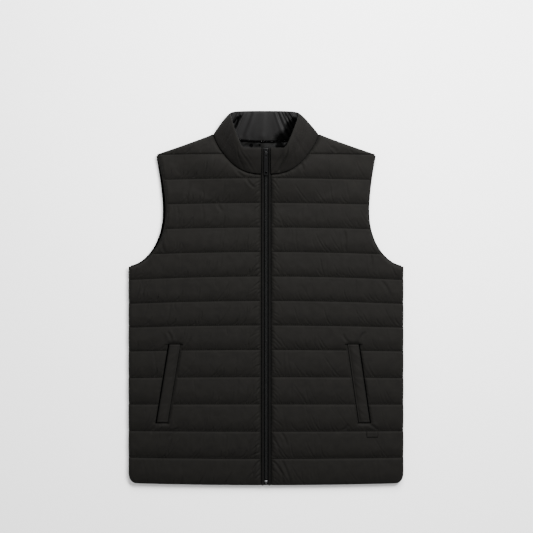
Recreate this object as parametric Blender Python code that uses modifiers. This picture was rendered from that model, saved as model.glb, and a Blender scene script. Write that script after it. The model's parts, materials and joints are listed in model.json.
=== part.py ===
"""Quilted puffer vest, zipped up and laid flat on its back.

Right and left are the wearer's: the wearer's right is at -X. The hem is at -Y, the collar at +Y,
and the back panel lies on the plane z = 0. Heights above the hem are written h in the comments.
"""

import math

import bmesh
import bpy
import numpy as np
from mathutils import Matrix, Vector

MM = 0.001

# Driving sizes of the cut, as the vest lies flat
LENGTH = 736 * MM  # hem to the top of the collar
CHEST_HALF = 269.4 * MM  # half of the width below the arms
HEM_CORNER = 15 * MM  # radius of the hem's corners
SIDE_SCALLOP = 1.0 * MM  # how far each channel swells past the side seam
UNDERARM_H = 432 * MM
ARM_WAIST_H = 542 * MM  # height at which the armhole is narrowest
ARM_WAIST_HALF = 203 * MM
SHOULDER_TIP_H = 650 * MM
SHOULDER_TIP_HALF = 216.5 * MM
NECK_POINT_H = 690 * MM  # where the shoulder meets the neck seam
NECK_POINT_HALF = 105.6 * MM
NECK_FRONT_H = 611 * MM  # neck seam at the zip
NECK_BACK_H = 676.5 * MM  # neck seam at the middle of the back

# Quilting: five deeper channels from the hem up, then eight shallower ones
LOWER_CHANNEL = 53.5 * MM
UPPER_CHANNEL = 48.1 * MM
LOWER_COUNT = 5
UPPER_COUNT = 8

# Thicknesses
GAP = 0.3 * MM  # between pieces that touch
SEAM_THICKNESS = 3.0 * MM  # a padded panel where it is stitched through
BACK_THICKNESS = 9.0 * MM  # the back's channels, flattened against the floor
FRONT_PUFF = 8.0 * MM  # what a front channel adds to its stitched thickness
FRONT_BASE = BACK_THICKNESS + GAP
BINDING_RADIUS = 1.6 * MM
BINDING_GAP = 1.1 * MM  # wider than the others, because the armhole is drawn in short straights
WELT_THICKNESS = 2.2 * MM
LINING_THICKNESS = 1.5 * MM

# Front opening, measured out from the middle of the zip
CHAIN_HALF = 3.1 * MM
TAPE_HALF = 9.3 * MM
BAND_INNER = 4.7 * MM
BAND_OUTER = 8.5 * MM
FRONT_INNER = 9.7 * MM
NECK_LIFT = 10 * MM  # the front neck seam stands this far off the back
COLLAR_FRONT_H = 663 * MM
COLLAR_SLOPE = 15 / 52  # rise of the closed collar over its run, at the zip

# Pocket welts: height of each end, and the outer edge's distance from the middle there
WELT_WIDTH = 21.8 * MM
WELT_LOW_H = 123 * MM
WELT_HIGH_H = 277 * MM
WELT_LOW_X = {"right": 215 * MM, "left": 204 * MM}
WELT_HIGH_X = {"right": 190 * MM, "left": 182 * MM}

# As laid, the back's right armhole shows past the front's, and its left one lies just under it
ARM_SHOWS = {"right": 5.5 * MM, "left": -2.0 * MM}
SIGN = {"right": -1, "left": 1}

STITCHES = [LOWER_CHANNEL * i for i in range(LOWER_COUNT + 1)] + [
    LOWER_CHANNEL * LOWER_COUNT + UPPER_CHANNEL * (i + 1) for i in range(UPPER_COUNT)
]


# ---------------------------------------------------------------- small helpers


def smooth(t):
    """0 below t = 0, 1 above t = 1, and an S-curve between."""
    t = min(max(t, 0.0), 1.0)
    return t * t * (3 - 2 * t)


def mix(a, b, t):
    return a + (b - a) * t


def channel_share(h):
    """How far up its channel a height is, from 0 at one stitch line to 1 at the next."""
    lines = STITCHES + [STITCHES[-1] + UPPER_CHANNEL]
    for low, high in zip(lines, lines[1:]):
        if h < high - 1e-9:
            return (h - low) / (high - low)
    return 1.0


def puff(share):
    """Rounded section of a channel: 0 at its stitch lines and 1 at its crown."""
    return (1 - abs(2 * share - 1) ** 3) ** 0.7


def make_material(name, colour, roughness, metallic=0.0):
    material = bpy.data.materials.new(name)
    material.use_nodes = True
    shader = material.node_tree.nodes["Principled BSDF"]
    shader.inputs["Base Color"].default_value = (*colour, 1)
    shader.inputs["Roughness"].default_value = roughness
    shader.inputs["Metallic"].default_value = metallic
    return material


def add_object(name, data, material=None):
    obj = bpy.data.objects.new(name, data)
    bpy.data.collections["puffer_vest"].objects.link(obj)
    if material:
        data.materials.append(material)
    return obj


def add_helper(name, data):
    """A cutter or joined shape, which is no part by itself."""
    obj = bpy.data.objects.new(name, data)
    bpy.data.collections["helpers"].objects.link(obj)
    obj.hide_render = True
    obj.display_type = "WIRE"
    return obj


def wall_between(name, outer, inner, material):
    """Closed wall between two grids of points of the same size, each a list of rows."""
    rows, columns = len(outer), len(outer[0])
    mesh = bmesh.new()
    grids = [[[mesh.verts.new(p) for p in row] for row in grid] for grid in (outer, inner)]
    top, bottom = grids
    for r in range(rows - 1):
        for c in range(columns - 1):
            mesh.faces.new((top[r][c], top[r][c + 1], top[r + 1][c + 1], top[r + 1][c]))
            mesh.faces.new((bottom[r][c], bottom[r + 1][c], bottom[r + 1][c + 1], bottom[r][c + 1]))
    rim = [(0, c) for c in range(columns)] + [(r, columns - 1) for r in range(1, rows)]
    rim += [(rows - 1, c) for c in range(columns - 2, -1, -1)] + [(r, 0) for r in range(rows - 2, 0, -1)]
    for (r, c), (s, d) in zip(rim, rim[1:] + rim[:1]):
        mesh.faces.new((top[s][d], top[r][c], bottom[r][c], bottom[s][d]))
    bmesh.ops.recalc_face_normals(mesh, faces=mesh.faces[:])
    data = bpy.data.meshes.new(name)
    mesh.to_mesh(data)
    mesh.free()
    return add_object(name, data, material)


# ---------------------------------------------------------------- outline of the cut


def armhole(inset, shows=0.0):
    """(heights, half widths) of the armhole, moved into the cloth by inset, and by up to shows more halfway up."""
    points = []
    for i in range(41):
        t = i / 40
        h = mix(UNDERARM_H, ARM_WAIST_H, min(1.0, 2 * t) ** 1.6)
        fall = (ARM_WAIST_H - h) / (ARM_WAIST_H - UNDERARM_H)
        half = ARM_WAIST_HALF + (CHEST_HALF - ARM_WAIST_HALF) * (1 - (1 - fall**2.2) ** 0.58)
        if t > 0.5:
            rise = 2 * t - 1
            h = mix(ARM_WAIST_H, SHOULDER_TIP_H, rise)
            half = mix(ARM_WAIST_HALF, SHOULDER_TIP_HALF, rise**1.6)
        points.append(Vector((half, h)))
    moved = []
    for i, point in enumerate(points):
        along = points[min(i + 1, 40)] - points[max(i - 1, 0)]
        inward = Vector((-along.y, along.x)).normalized()
        moved.append(point + inward * (inset + shows * math.sin(math.pi * i / 40)))
    return [p.y for p in moved], [p.x for p in moved]


def droop(h, x):
    """How far the stitch lines hang towards the sides, most of all under the arms."""
    most = np.interp(h, (0, 410 * MM, 652 * MM, NECK_POINT_H), (-4 * MM, 7 * MM, 3.5 * MM, 0))
    return most * (x / CHEST_HALF) ** 2


def shoulder_half(h):
    share = (NECK_POINT_H - h) / (NECK_POINT_H - SHOULDER_TIP_H)
    return NECK_POINT_HALF + (SHOULDER_TIP_HALF - NECK_POINT_HALF) * max(share, 0) ** (1 / 0.93)


def shoulder_h(x):
    share = (x - NECK_POINT_HALF) / (SHOULDER_TIP_HALF - NECK_POINT_HALF)
    return NECK_POINT_H - (NECK_POINT_H - SHOULDER_TIP_H) * share**0.93


def outline_half(h, edge):
    """Half width of a panel at height h. edge is its armhole, from armhole()."""
    if h < HEM_CORNER:
        return CHEST_HALF - HEM_CORNER + math.sqrt(HEM_CORNER**2 - (HEM_CORNER - h) ** 2)
    heights, halves = edge
    if h <= heights[0]:
        return CHEST_HALF + SIDE_SCALLOP * puff(channel_share(h))
    half = float(np.interp(h, heights, halves))
    for _ in range(6):  # the drooped row meets the edge lower down
        lower = h - droop(h, half)
        half = float(np.interp(lower, heights, halves))
        if lower > SHOULDER_TIP_H:
            half = min(half, shoulder_half(lower))
    return half


def neck_half(h):
    """Half width of the front neck seam at height h."""
    share = (h - NECK_FRONT_H) / (NECK_POINT_H - NECK_FRONT_H)
    return max(FRONT_INNER, NECK_POINT_HALF * max(share, 0) ** (1 / 2.75))


def neck_front_h(x):
    return NECK_FRONT_H + (NECK_POINT_H - NECK_FRONT_H) * (abs(x) / NECK_POINT_HALF) ** 2.75


def neck_back_h(x):
    return NECK_BACK_H + (NECK_POINT_H - NECK_BACK_H) * (abs(x) / NECK_POINT_HALF) ** 2.2


def lift(x, h):
    """How far the front stands off the back round the open neck."""
    reach = math.hypot(x / NECK_POINT_HALF, (NECK_POINT_H - h) / (NECK_POINT_H - NECK_FRONT_H))
    return NECK_LIFT * smooth((1.9 - reach) / 0.9) * smooth((NECK_POINT_H - h) / (60 * MM))


def place(x, h, z):
    """A point of the cut at x and height h, as it lies."""
    return Vector((x, h - droop(h, x) - LENGTH / 2, z))


# ---------------------------------------------------------------- quilted panels


def welt_lines(h, side):
    """Inner and outer edge of the pocket welt at height h, carried on past its ends."""
    share = (h - WELT_LOW_H) / (WELT_HIGH_H - WELT_LOW_H)
    outer = mix(WELT_LOW_X[side], WELT_HIGH_X[side], min(max(share, -0.3), 1.3))
    return outer - WELT_WIDTH, outer


def near_welt(h, reach):
    """1 beside the pocket, falling to 0 over reach above and below it."""
    past = max(WELT_LOW_H - h, h - WELT_HIGH_H, 0)
    return smooth(1 - past / reach)


COLUMN_SHARES = (0, 0.02, 0.06, 0.3, 0.5, 0.54, 0.62, 0.66, 0.88, 0.94, 0.98, 1)
EDGE_PUFF = (0.1, 0.6, 0.95, 1, 1, 1, 1, 1, 1, 0.95, 0.6, 0.0)
WELT_PUFF = (1, 1, 1, 1, 0.85, 0.5, 0.5, 0.85, 1, 1, 1, 1)
WELT_COLUMNS = (5, 6)


def front_columns(h, side, edge):
    """x of each column of the front's grid at height h. Two of them run along the pocket welt."""
    inner, outer = neck_half(h), outline_half(h, edge)
    columns = [mix(inner, outer, share) for share in COLUMN_SHARES]
    welt_in, welt_out = welt_lines(h, side)
    beside = 8 * MM
    held = near_welt(h, 110 * MM)
    for column, x in zip((4, 5, 6, 7), (welt_in - beside, welt_in, welt_out, welt_out + beside)):
        columns[column] = mix(columns[column], x, held)
    return columns


def front_heights():
    """Rows of the front's grid: three a channel, and more where its outline turns."""
    lines = STITCHES + [STITCHES[-1] + UPPER_CHANNEL]
    heights = {mix(low, high, share) for low, high in zip(lines, lines[1:]) for share in (0, 0.22, 0.78)}
    turns = (4.4, 425, 428.5, 432, 437, 443, 611, 612.5, 620, 630, 675, 684, 688.5)
    heights |= {h * MM for h in turns} | {WELT_LOW_H, WELT_HIGH_H}
    return sorted(h for h in heights if h < NECK_POINT_H - MM)


def front_top(x, h, column):
    """Height of the front's outer face."""
    flat = mix(1.0, WELT_PUFF[column], near_welt(h, 12 * MM))
    swell = FRONT_PUFF * puff(channel_share(h)) * EDGE_PUFF[column] * flat
    return FRONT_BASE + lift(x, h) + SEAM_THICKNESS + swell


def front_panel(side, material):
    edge = armhole(2 * BINDING_RADIUS + BINDING_GAP, max(ARM_SHOWS[side], 0))
    sign = SIGN[side]
    outer, inner = [], []
    for h in front_heights():
        columns = front_columns(h, side, edge)
        tops = [place(sign * x, h, front_top(x, h, c)) for c, x in enumerate(columns)]
        bottoms = [place(sign * x, h, FRONT_BASE + lift(x, h)) for x in columns]
        outer.append(tops[::sign])
        inner.append(bottoms[::sign])
    return wall_between(f"front_panel_{side}", outer, inner, material)


def back_underside(share, edge_share):
    """Height of the back's outer face: on the floor but for the stitch lines and the edges."""
    groove = min(1.0, share / 0.14, (1 - share) / 0.14)
    return (BACK_THICKNESS - SEAM_THICKNESS) * (1 - groove * edge_share)


def back_panel(material):
    shares = (0, 0.015, 0.045, 0.2, 0.4, 0.5, 0.6, 0.8, 0.955, 0.985, 1)
    edge_shares = (0, 0.7, 1, 1, 1, 1, 1, 1, 1, 0.7, 0)
    edges = {s: armhole(2 * BINDING_RADIUS + BINDING_GAP, max(-ARM_SHOWS[s], 0)) for s in SIGN}
    last_line = SHOULDER_TIP_H - MM
    lines = STITCHES[:-1] + [last_line]
    heights = {mix(low, high, share) for low, high in zip(lines, lines[1:]) for share in (0, 0.14, 0.86)}
    heights |= {h * MM for h in (4.4, 425, 428.5, 432, 437, 443, 490, 590)} | {last_line}
    outer, inner = [], []

    def add_row(points):
        outer.append([place(x, h, z) for x, h, z in points])
        inner.append([place(x, h, BACK_THICKNESS) for x, h, _ in points])

    for h in sorted(heights):
        low = max(line for line in lines if line <= h + 1e-9)
        high = min([line for line in lines if line > h + 1e-9], default=low + UPPER_CHANNEL)
        share = (h - low) / (high - low)
        left, right = outline_half(h, edges["left"]), outline_half(h, edges["right"])
        row = [mix(-right, left, s) for s in shares]
        add_row([(x, h, back_underside(share, e)) for x, e in zip(row, edge_shares)])
    for share in (0.2, 0.8, 1):  # from the last stitch line up to the shoulders and the neck
        points = []
        for x, e in zip(row, edge_shares):
            reach = abs(x)
            top = neck_back_h(x) if reach < NECK_POINT_HALF else shoulder_h(min(reach, SHOULDER_TIP_HALF))
            h = mix(last_line, max(top, last_line + 2 * MM), share)
            points.append((x, h, back_underside(share, e)))
        add_row(points)
    return wall_between("back_panel", outer, inner, material)


# ---------------------------------------------------------------- pieces on the panels


def pocket_welt(side, material):
    """Strip on the pocket's edge, made from the front's own points."""
    edge = armhole(2 * BINDING_RADIUS + BINDING_GAP, max(ARM_SHOWS[side], 0))
    sign = SIGN[side]
    outer, inner = [], []
    for h in front_heights():
        if not WELT_LOW_H <= h <= WELT_HIGH_H:
            continue
        columns = front_columns(h, side, edge)
        points = [place(sign * columns[c], h, front_top(columns[c], h, c) + GAP) for c in WELT_COLUMNS]
        inner.append(points[::sign])
        outer.append([p + Vector((0, 0, WELT_THICKNESS)) for p in points[::sign]])
    return wall_between(f"pocket_welt_{side}", outer, inner, material)


def hem_label(material):
    """Small blank tab that hangs from the second stitch line of the left front."""
    middle, width, length = 208.6 * MM, 21.8 * MM, 11 * MM
    top = STITCHES[2] - 2.5 * MM
    crown_row = mix(STITCHES[1], STITCHES[2], 0.78)
    outer, inner = [], []
    for h in (top - length, crown_row, top):
        below = min(h, STITCHES[2])
        shares = (channel_share(crown_row), 1.0)
        slope = FRONT_PUFF * puff(shares[0]) * (STITCHES[2] - max(below, crown_row)) / (STITCHES[2] - crown_row)
        z = FRONT_BASE + SEAM_THICKNESS + slope + 2 * GAP
        row = [place(middle + side * width / 2, h, z) for side in (-1, 1)]
        inner.append(row)
        outer.append([p + Vector((0, 0, MM)) for p in row])
    return wall_between("hem_label", outer, inner, material)


def neck_lining(material):
    """The back's lining where the open neck shows it."""
    low, half = 612 * MM, 62 * MM
    outer, inner = [], []
    for share in (0, 0.5, 1):
        row = []
        for x in (-half, -half / 2, 0, half / 2, half):
            h = mix(low, neck_back_h(x) - 0.7 * MM, share)
            row.append(Vector((x, h - LENGTH / 2, BACK_THICKNESS + GAP)))
        inner.append(row)
        outer.append([p + Vector((0, 0, LINING_THICKNESS)) for p in row])
    return wall_between("neck_lining", outer, inner, material)


def armhole_binding(side, material):
    """Binding sewn round the armhole: along the front's edge, round the underarm, and back along the back's."""
    front = armhole(BINDING_RADIUS, max(ARM_SHOWS[side], 0))
    back = armhole(BINDING_RADIUS, max(-ARM_SHOWS[side], 0))
    front_z, back_z = FRONT_BASE + 2 * MM, BACK_THICKNESS - 1.9 * MM
    turn = (front_z + back_z) / 2
    skip = 2
    upward = list(zip(*front))[1:-1:skip]
    downward = list(zip(*back))[1:-1:skip][::-1]
    path = [(half, h, front_z) for h, half in upward]
    path.append((upward[-1][1] + 0.5 * MM, upward[-1][0] + 3 * MM, turn))
    path += [(half, h, back_z) for h, half in downward]
    path.append((downward[-1][1] + 2.2 * MM, downward[-1][0] - 1.2 * MM, turn))
    curve = bpy.data.curves.new(f"armhole_binding_{side}", "CURVE")
    curve.dimensions = "3D"
    spline = curve.splines.new("POLY")
    spline.points.add(len(path) - 1)
    for point, (x, h, z) in zip(spline.points, path):
        point.co = (SIGN[side] * x, h - LENGTH / 2, z, 1)
    spline.use_cyclic_u = True
    curve.bevel_depth = BINDING_RADIUS
    curve.bevel_resolution = 1
    return add_object(curve.name, curve, material)


# ---------------------------------------------------------------- collar

# One half of the collar, from the zip round to the middle of the back. Each station gives its
# foot (x, height above its seam's floor) and its top (x, h, z), all in millimetres.
COLLAR_FEET = ((9.7, 0), (30, 0), (52, 0), (71, 0), (86, 0), (96.5, 0))
COLLAR_TOPS = ((9.7, 663, 38), (28, 663, 41), (42, 664, 44), (49, 674, 44), (55, 694, 39), (60.5, 713, 31))
FOLD_FEET = ((101.2, 687.2, 11.8), (102.4, 688.3, 8), (98.5, 689.6, 4.4))
FOLD_TOPS = ((64.8, 726.5, 21.5), (65.3, 730, 12), (60, 732.6, 5))
BACK_FEET_X = (80, 43, 0)
BACK_TOPS = ((48, 734, 4.2), (26, 735.8, 4.2), (0, 736, 4.2))
COLLAR_WALL = 7 * MM
COLLAR_ROWS = (0, 0.12, 0.5, 0.88, 1)
COLLAR_SEAM_GAP = 0.8 * MM


def collar_half():
    """Feet and tops of the collar's middle surface, from the zip to the middle of the back."""
    feet = []
    for x, _ in COLLAR_FEET:
        x = x * MM
        h = neck_front_h(x)
        slope = 2.75 * (NECK_POINT_H - NECK_FRONT_H) / NECK_POINT_HALF * (x / NECK_POINT_HALF) ** 1.75
        off = Vector((-slope, 1)).normalized() * COLLAR_SEAM_GAP
        z = FRONT_BASE + lift(x, h) + COLLAR_WALL / 2
        feet.append(Vector((max(x + off.x, FRONT_INNER), h + off.y, z)))
    feet += [Vector(p) * MM for p in FOLD_FEET]
    for x in BACK_FEET_X:
        feet.append(Vector((x * MM, neck_back_h(x * MM) + COLLAR_SEAM_GAP, 3.6 * MM)))
    tops = [Vector(p) * MM for p in COLLAR_TOPS + FOLD_TOPS + BACK_TOPS]
    return feet, tops


def collar_surface():
    """Rows of the collar's middle surface from one side of the zip round to the other, and its outward normals."""
    feet, tops = collar_half()
    mirror = Vector((-1, 1, 1))
    feet = feet + [p * mirror for p in feet[-2::-1]]
    tops = tops + [p * mirror for p in tops[-2::-1]]
    shift = Vector((0, -LENGTH / 2, 0))
    rows = [[foot.lerp(top, v) + shift for foot, top in zip(feet, tops)] for v in COLLAR_ROWS]
    last_row, last = len(rows) - 1, len(feet) - 1
    normals = []
    for r in range(last_row + 1):
        line = []
        for s in range(last + 1):
            around = rows[r][min(s + 1, last)] - rows[r][max(s - 1, 0)]
            up = rows[min(r + 1, last_row)][s] - rows[max(r - 1, 0)][s]
            line.append(around.cross(up).normalized())
        normals.append(line)
    return rows, normals


def collar_wall(name, inner_offset, outer_offset, swell, material):
    """Wall that follows the collar's middle surface between two distances from it, swollen between its seams."""
    rows, normals = collar_surface()
    fronts = len(COLLAR_FEET) - 1
    last = len(rows[0]) - 1
    outer, inner = [], []
    for r, share in enumerate(COLLAR_ROWS):
        out_line, in_line = [], []
        for s, (point, normal) in enumerate(zip(rows[r], normals[r])):
            if r == 0 and min(s, last - s) < fronts:
                normal = Vector((0, 0, 1))
            elif r == 0 and min(s, last - s) > fronts + 3:
                normal = Vector((0, 0, -1))
            out_line.append(point + normal * (outer_offset + swell * puff(share)))
            in_line.append(point + normal * inner_offset)
        outer.append([Vector((p.x, p.y, max(p.z, 0))) for p in out_line])
        inner.append(in_line)
    return wall_between(name, outer, inner, material)


def collar(shell, lining):
    collar_wall("collar_outer", -1.3 * MM, 2.4 * MM, 1.6 * MM, shell)
    collar_wall("collar_inner", -3.6 * MM, -1.8 * MM, 0, lining)


# ---------------------------------------------------------------- zip


def zip_floor(h):
    """Height of the surface that the zip lies on, up the front and on up the collar."""
    return FRONT_BASE + lift(0, min(h, NECK_FRONT_H)) + max(h - NECK_FRONT_H, 0) * COLLAR_SLOPE


def zip_heights(low, high):
    steps = [low] + [h * MM for h in (180, 360, 535, 550, 565, 580, 595, 606, 611, 616, 630)] + [high]
    return [h for h in steps if low <= h <= high]


def zip_strip(name, section, low, high, material):
    """Strip along the zip. section lists (x, lower z, upper z) across it, above the floor that the zip lies on."""
    outer, inner = [], []
    for h in zip_heights(low, high):
        floor = zip_floor(h)
        outer.append([Vector((x, h - LENGTH / 2, floor + top)) for x, _, top in section])
        inner.append([Vector((x, h - LENGTH / 2, floor + bottom)) for x, bottom, _ in section])
    return wall_between(name, outer, inner, material)


def zip_strips(tape, coil, cloth):
    chain = [(x * MM, 2 * MM, (2 + rise) * MM) for x, rise in ((-3.1, 1.5), (-1.8, 2.6), (1.8, 2.6), (3.1, 1.5))]
    zip_strip("zip_chain", chain, 12 * MM, 645 * MM, coil)
    for side, sign in SIGN.items():
        tape_section = [(sign * x, 0.5 * MM, 1.6 * MM) for x in (GAP, TAPE_HALF)]
        zip_strip(f"zip_tape_{side}", tape_section[::sign], 2 * MM, COLLAR_FRONT_H + MM, tape)
        middle = (BAND_INNER + BAND_OUTER) / 2
        band_section = [(BAND_INNER, 2 * MM, 4 * MM), (middle, 2 * MM, 5.4 * MM), (BAND_OUTER, 2 * MM, 4 * MM)]
        band_section = [(sign * x, bottom, top) for x, bottom, top in band_section]
        zip_strip(f"front_band_{side}", band_section[::sign], 0, COLLAR_FRONT_H, cloth)


def box_mesh(name, size, centre, taper=1.0):
    """Box, whose lower end along Y is narrower by taper."""
    mesh = bmesh.new()
    bmesh.ops.create_cube(mesh, size=1)
    for v in mesh.verts:
        narrow = taper if v.co.y < 0 else 1.0
        v.co = Vector((v.co.x * size[0] * narrow, v.co.y * size[1], v.co.z * size[2])) + Vector(centre)
    data = bpy.data.meshes.new(name)
    mesh.to_mesh(data)
    mesh.free()
    return data


def bevel(obj, width, segments=2):
    modifier = obj.modifiers.new("round_edges", "BEVEL")
    modifier.width = width
    modifier.segments = segments


def boolean(obj, other, operation):
    modifier = obj.modifiers.new(operation.lower(), "BOOLEAN")
    modifier.object = other
    modifier.operation = operation


PIVOT_H = 653 * MM  # the pull's hinge, up the zip
PIVOT_RISE = 7.3 * MM  # above the floor that the zip lies on
SLIDER_TOP = 5.6 * MM  # top plate of the slider, above that floor
ZIP_TILT = math.atan(COLLAR_SLOPE)


def on_the_slope():
    """Frame at the pull's hinge: X across the zip, Y up it, Z off the cloth."""
    foot = Vector((0, PIVOT_H - LENGTH / 2, zip_floor(PIVOT_H)))
    turn = Matrix.Rotation(ZIP_TILT, 4, "X")
    return Matrix.Translation(foot) @ turn @ Matrix.Translation((0, 0, PIVOT_RISE))


def zip_slider(material):
    """Slider: a tapered body on the chain, with a bridge over the pull's bar."""
    plate = SLIDER_TOP - PIVOT_RISE
    low = 2.0 * MM - PIVOT_RISE
    body = add_object(
        "zip_slider",
        box_mesh("zip_slider", (8.6 * MM, 15 * MM, plate - low), (0, 1.5 * MM, (plate + low) / 2), 0.8),
        material,
    )
    bridge_top = 2.7 * MM
    bridge = add_helper(
        "slider_bridge",
        box_mesh("slider_bridge", (2 * MM, 7.6 * MM, bridge_top - plate + 0.6 * MM), (0, 0, (bridge_top + plate - 0.6 * MM) / 2)),
    )
    hole = add_helper("bridge_hole", box_mesh("bridge_hole", (4 * MM, 4.0 * MM, 1.5 * MM - plate), (0, 0, (1.5 * MM + plate) / 2)))
    bevel(body, 0.8 * MM)
    bevel(bridge, 0.5 * MM, 1)
    boolean(bridge, hole, "DIFFERENCE")
    boolean(body, bridge, "UNION")
    for obj in (body, bridge, hole):
        obj.matrix_world = on_the_slope()
    return body


def ring_points(centre, width, height, corner, steps=4):
    """Rectangle with round corners, anticlockwise."""
    points = []
    for quarter, (sx, sy) in enumerate(((1, 1), (-1, 1), (-1, -1), (1, -1))):
        middle = Vector((centre[0] + sx * (width / 2 - corner), centre[1] + sy * (height / 2 - corner)))
        for i in range(steps + 1):
            angle = math.pi / 2 * (quarter + i / steps)
            points.append(middle + corner * Vector((math.cos(angle), math.sin(angle))))
    return points


def plate_curve(name, outlines, thickness, material):
    curve = bpy.data.curves.new(name, "CURVE")
    curve.dimensions = "2D"
    curve.fill_mode = "BOTH"
    curve.extrude = thickness / 2
    for points in outlines:
        spline = curve.splines.new("POLY")
        spline.points.add(len(points) - 1)
        for point, p in zip(spline.points, points):
            point.co = (p.x, p.y, 0, 1)
        spline.use_cyclic_u = True
    return add_object(name, curve, material)


def zip_pull(material):
    """Flat tab with a slot round the slider's bridge and a round hole at its free end. Its origin is on the hinge."""
    thickness, bar, length = 1.5 * MM, 0.75 * MM, 44 * MM
    tab_length = length + bar
    body = ring_points((0, bar - tab_length / 2), 8.4 * MM, tab_length, 2.0 * MM)
    for p in body:
        if p.y > -8 * MM:
            p.x *= 0.86
    slot = ring_points((0, -bar - 2.4 * MM), 3.2 * MM, 4.8 * MM, 0.6 * MM, 2)
    hole = ring_points((0, -length + 5 * MM), 4.2 * MM, 4.2 * MM, 2.1 * MM)
    pull = plate_curve("zip_pull", (body, slot, hole), thickness, material)
    pull.matrix_world = on_the_slope()
    return pull


def zip_ends(metal, coil):
    """Box and pin end at the hem, and a stop at the top of each tape."""
    box = add_object("zip_box", box_mesh("zip_box", (7.4 * MM, 6 * MM, 3 * MM), (0, 0, 0)), metal)
    box.location = (0, 8 * MM - LENGTH / 2, zip_floor(0) + 3.5 * MM)
    pin = add_object("zip_pin", box_mesh("zip_pin", (2.6 * MM, 3.4 * MM, 2 * MM), (0, 0, 0)), metal)
    pin.location = (0, 3 * MM - LENGTH / 2, zip_floor(0) + 3 * MM)
    for piece in (box, pin):
        bevel(piece, 0.5 * MM)
    for side, sign in SIGN.items():
        stop = add_object(f"zip_stop_{side}", box_mesh("zip_stop", (1.9 * MM, 2.0 * MM, 1.8 * MM), (0, 0, 0)), coil)
        h = COLLAR_FRONT_H - 0.8 * MM
        stop.location = (sign * 1.6 * MM, h - LENGTH / 2, zip_floor(h) + 3.2 * MM)
        stop.rotation_euler.x = ZIP_TILT


# ---------------------------------------------------------------- the vest


def main():
    for obj in list(bpy.data.objects):
        bpy.data.objects.remove(obj)
    for name in ("puffer_vest", "helpers"):
        bpy.context.scene.collection.children.link(bpy.data.collections.new(name))

    shell = make_material("shell", (0.021, 0.020, 0.019), 0.6)
    lining = make_material("lining", (0.025, 0.025, 0.026), 0.4)
    trim = make_material("trim", (0.008, 0.008, 0.008), 0.7)
    tape = make_material("tape", (0.010, 0.010, 0.011), 0.8)
    coil = make_material("coil", (0.018, 0.018, 0.019), 0.45)
    black_metal = make_material("black_metal", (0.02, 0.02, 0.02), 0.35, 0.6)
    steel = make_material("steel", (0.55, 0.55, 0.56), 0.3, 1.0)

    back_panel(shell)
    for side in SIGN:
        front_panel(side, shell)
        pocket_welt(side, shell)
        armhole_binding(side, trim)
    collar(shell, lining)
    neck_lining(lining)
    hem_label(trim)
    zip_strips(tape, coil, trim)
    zip_slider(black_metal)
    zip_pull(black_metal)
    zip_ends(steel, coil)


main()
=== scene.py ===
"""Looks of the quilted puffer vest.

A cloth simulation blows up the fronts between their stitch lines. The other pieces are shaped directly.
"""

import json
import math

import bmesh
import bpy
import numpy as np
from mathutils import Matrix, Vector, noise
from mathutils.bvhtree import BVHTree
from mathutils.geometry import delaunay_2d_cdt
from mathutils.kdtree import KDTree

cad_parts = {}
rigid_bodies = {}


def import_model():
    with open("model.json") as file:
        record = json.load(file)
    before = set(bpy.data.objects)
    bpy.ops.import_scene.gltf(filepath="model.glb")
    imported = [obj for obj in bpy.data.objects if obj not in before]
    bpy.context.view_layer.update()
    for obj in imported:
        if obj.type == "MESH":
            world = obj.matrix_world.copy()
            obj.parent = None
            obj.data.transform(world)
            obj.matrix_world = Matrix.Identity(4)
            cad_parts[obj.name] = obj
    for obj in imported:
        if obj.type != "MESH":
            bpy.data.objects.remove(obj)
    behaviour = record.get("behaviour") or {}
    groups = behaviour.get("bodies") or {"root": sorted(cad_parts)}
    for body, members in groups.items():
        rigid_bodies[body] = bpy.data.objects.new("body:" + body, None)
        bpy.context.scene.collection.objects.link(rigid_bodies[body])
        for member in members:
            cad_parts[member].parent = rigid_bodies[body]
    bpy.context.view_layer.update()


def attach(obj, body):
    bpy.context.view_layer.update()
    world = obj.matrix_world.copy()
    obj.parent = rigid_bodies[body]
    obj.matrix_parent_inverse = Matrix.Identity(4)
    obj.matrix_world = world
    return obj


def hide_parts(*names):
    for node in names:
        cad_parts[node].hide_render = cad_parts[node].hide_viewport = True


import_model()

MM = 0.001

# Sizes of the cut. The wearer's right is at -X, and h is how far up from the hem a point lies.
LENGTH = 736 * MM
CHEST_HALF = 269.4 * MM
HEM_CORNER = 15 * MM
HEM_RISE = 4 * MM
SIDE_SCALLOP = 1.0 * MM
UNDERARM_H = 432 * MM
ARM_WAIST_H = 542 * MM
ARM_WAIST_HALF = 203 * MM
SHOULDER_TIP_H = 650 * MM
SHOULDER_TIP_HALF = 216.5 * MM
NECK_POINT_H = 690 * MM
NECK_POINT_HALF = 105.6 * MM
NECK_FRONT_H = 611 * MM
NECK_BACK_H = 676.5 * MM
LOWER_CHANNEL = 53.5 * MM
UPPER_CHANNEL = 48.1 * MM
LOWER_COUNT = 5
UPPER_COUNT = 8
GAP = 0.3 * MM
SEAM_THICKNESS = 2.2 * MM
BACK_THICKNESS = 9.0 * MM
FRONT_PUFF = 8.0 * MM
FRONT_BASE = BACK_THICKNESS + GAP
BINDING_RADIUS = 1.6 * MM
FRONT_INNER = 9.7 * MM
NECK_LIFT = 10 * MM
COLLAR_FRONT_H = 663 * MM
BAND_TOP_H = 660.5 * MM
COLLAR_SLOPE = 15 / 52
WELT_WIDTH = 21.8 * MM
WELT_LOW_H = 123 * MM
WELT_HIGH_H = 277 * MM
WELT_LOW_X = {"right": 215 * MM, "left": 204 * MM}
WELT_HIGH_X = {"right": 190 * MM, "left": 182 * MM}
ARM_SHOWS = {"right": 5.5 * MM, "left": -2.0 * MM}
SIGN = {"right": -1, "left": 1}
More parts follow.
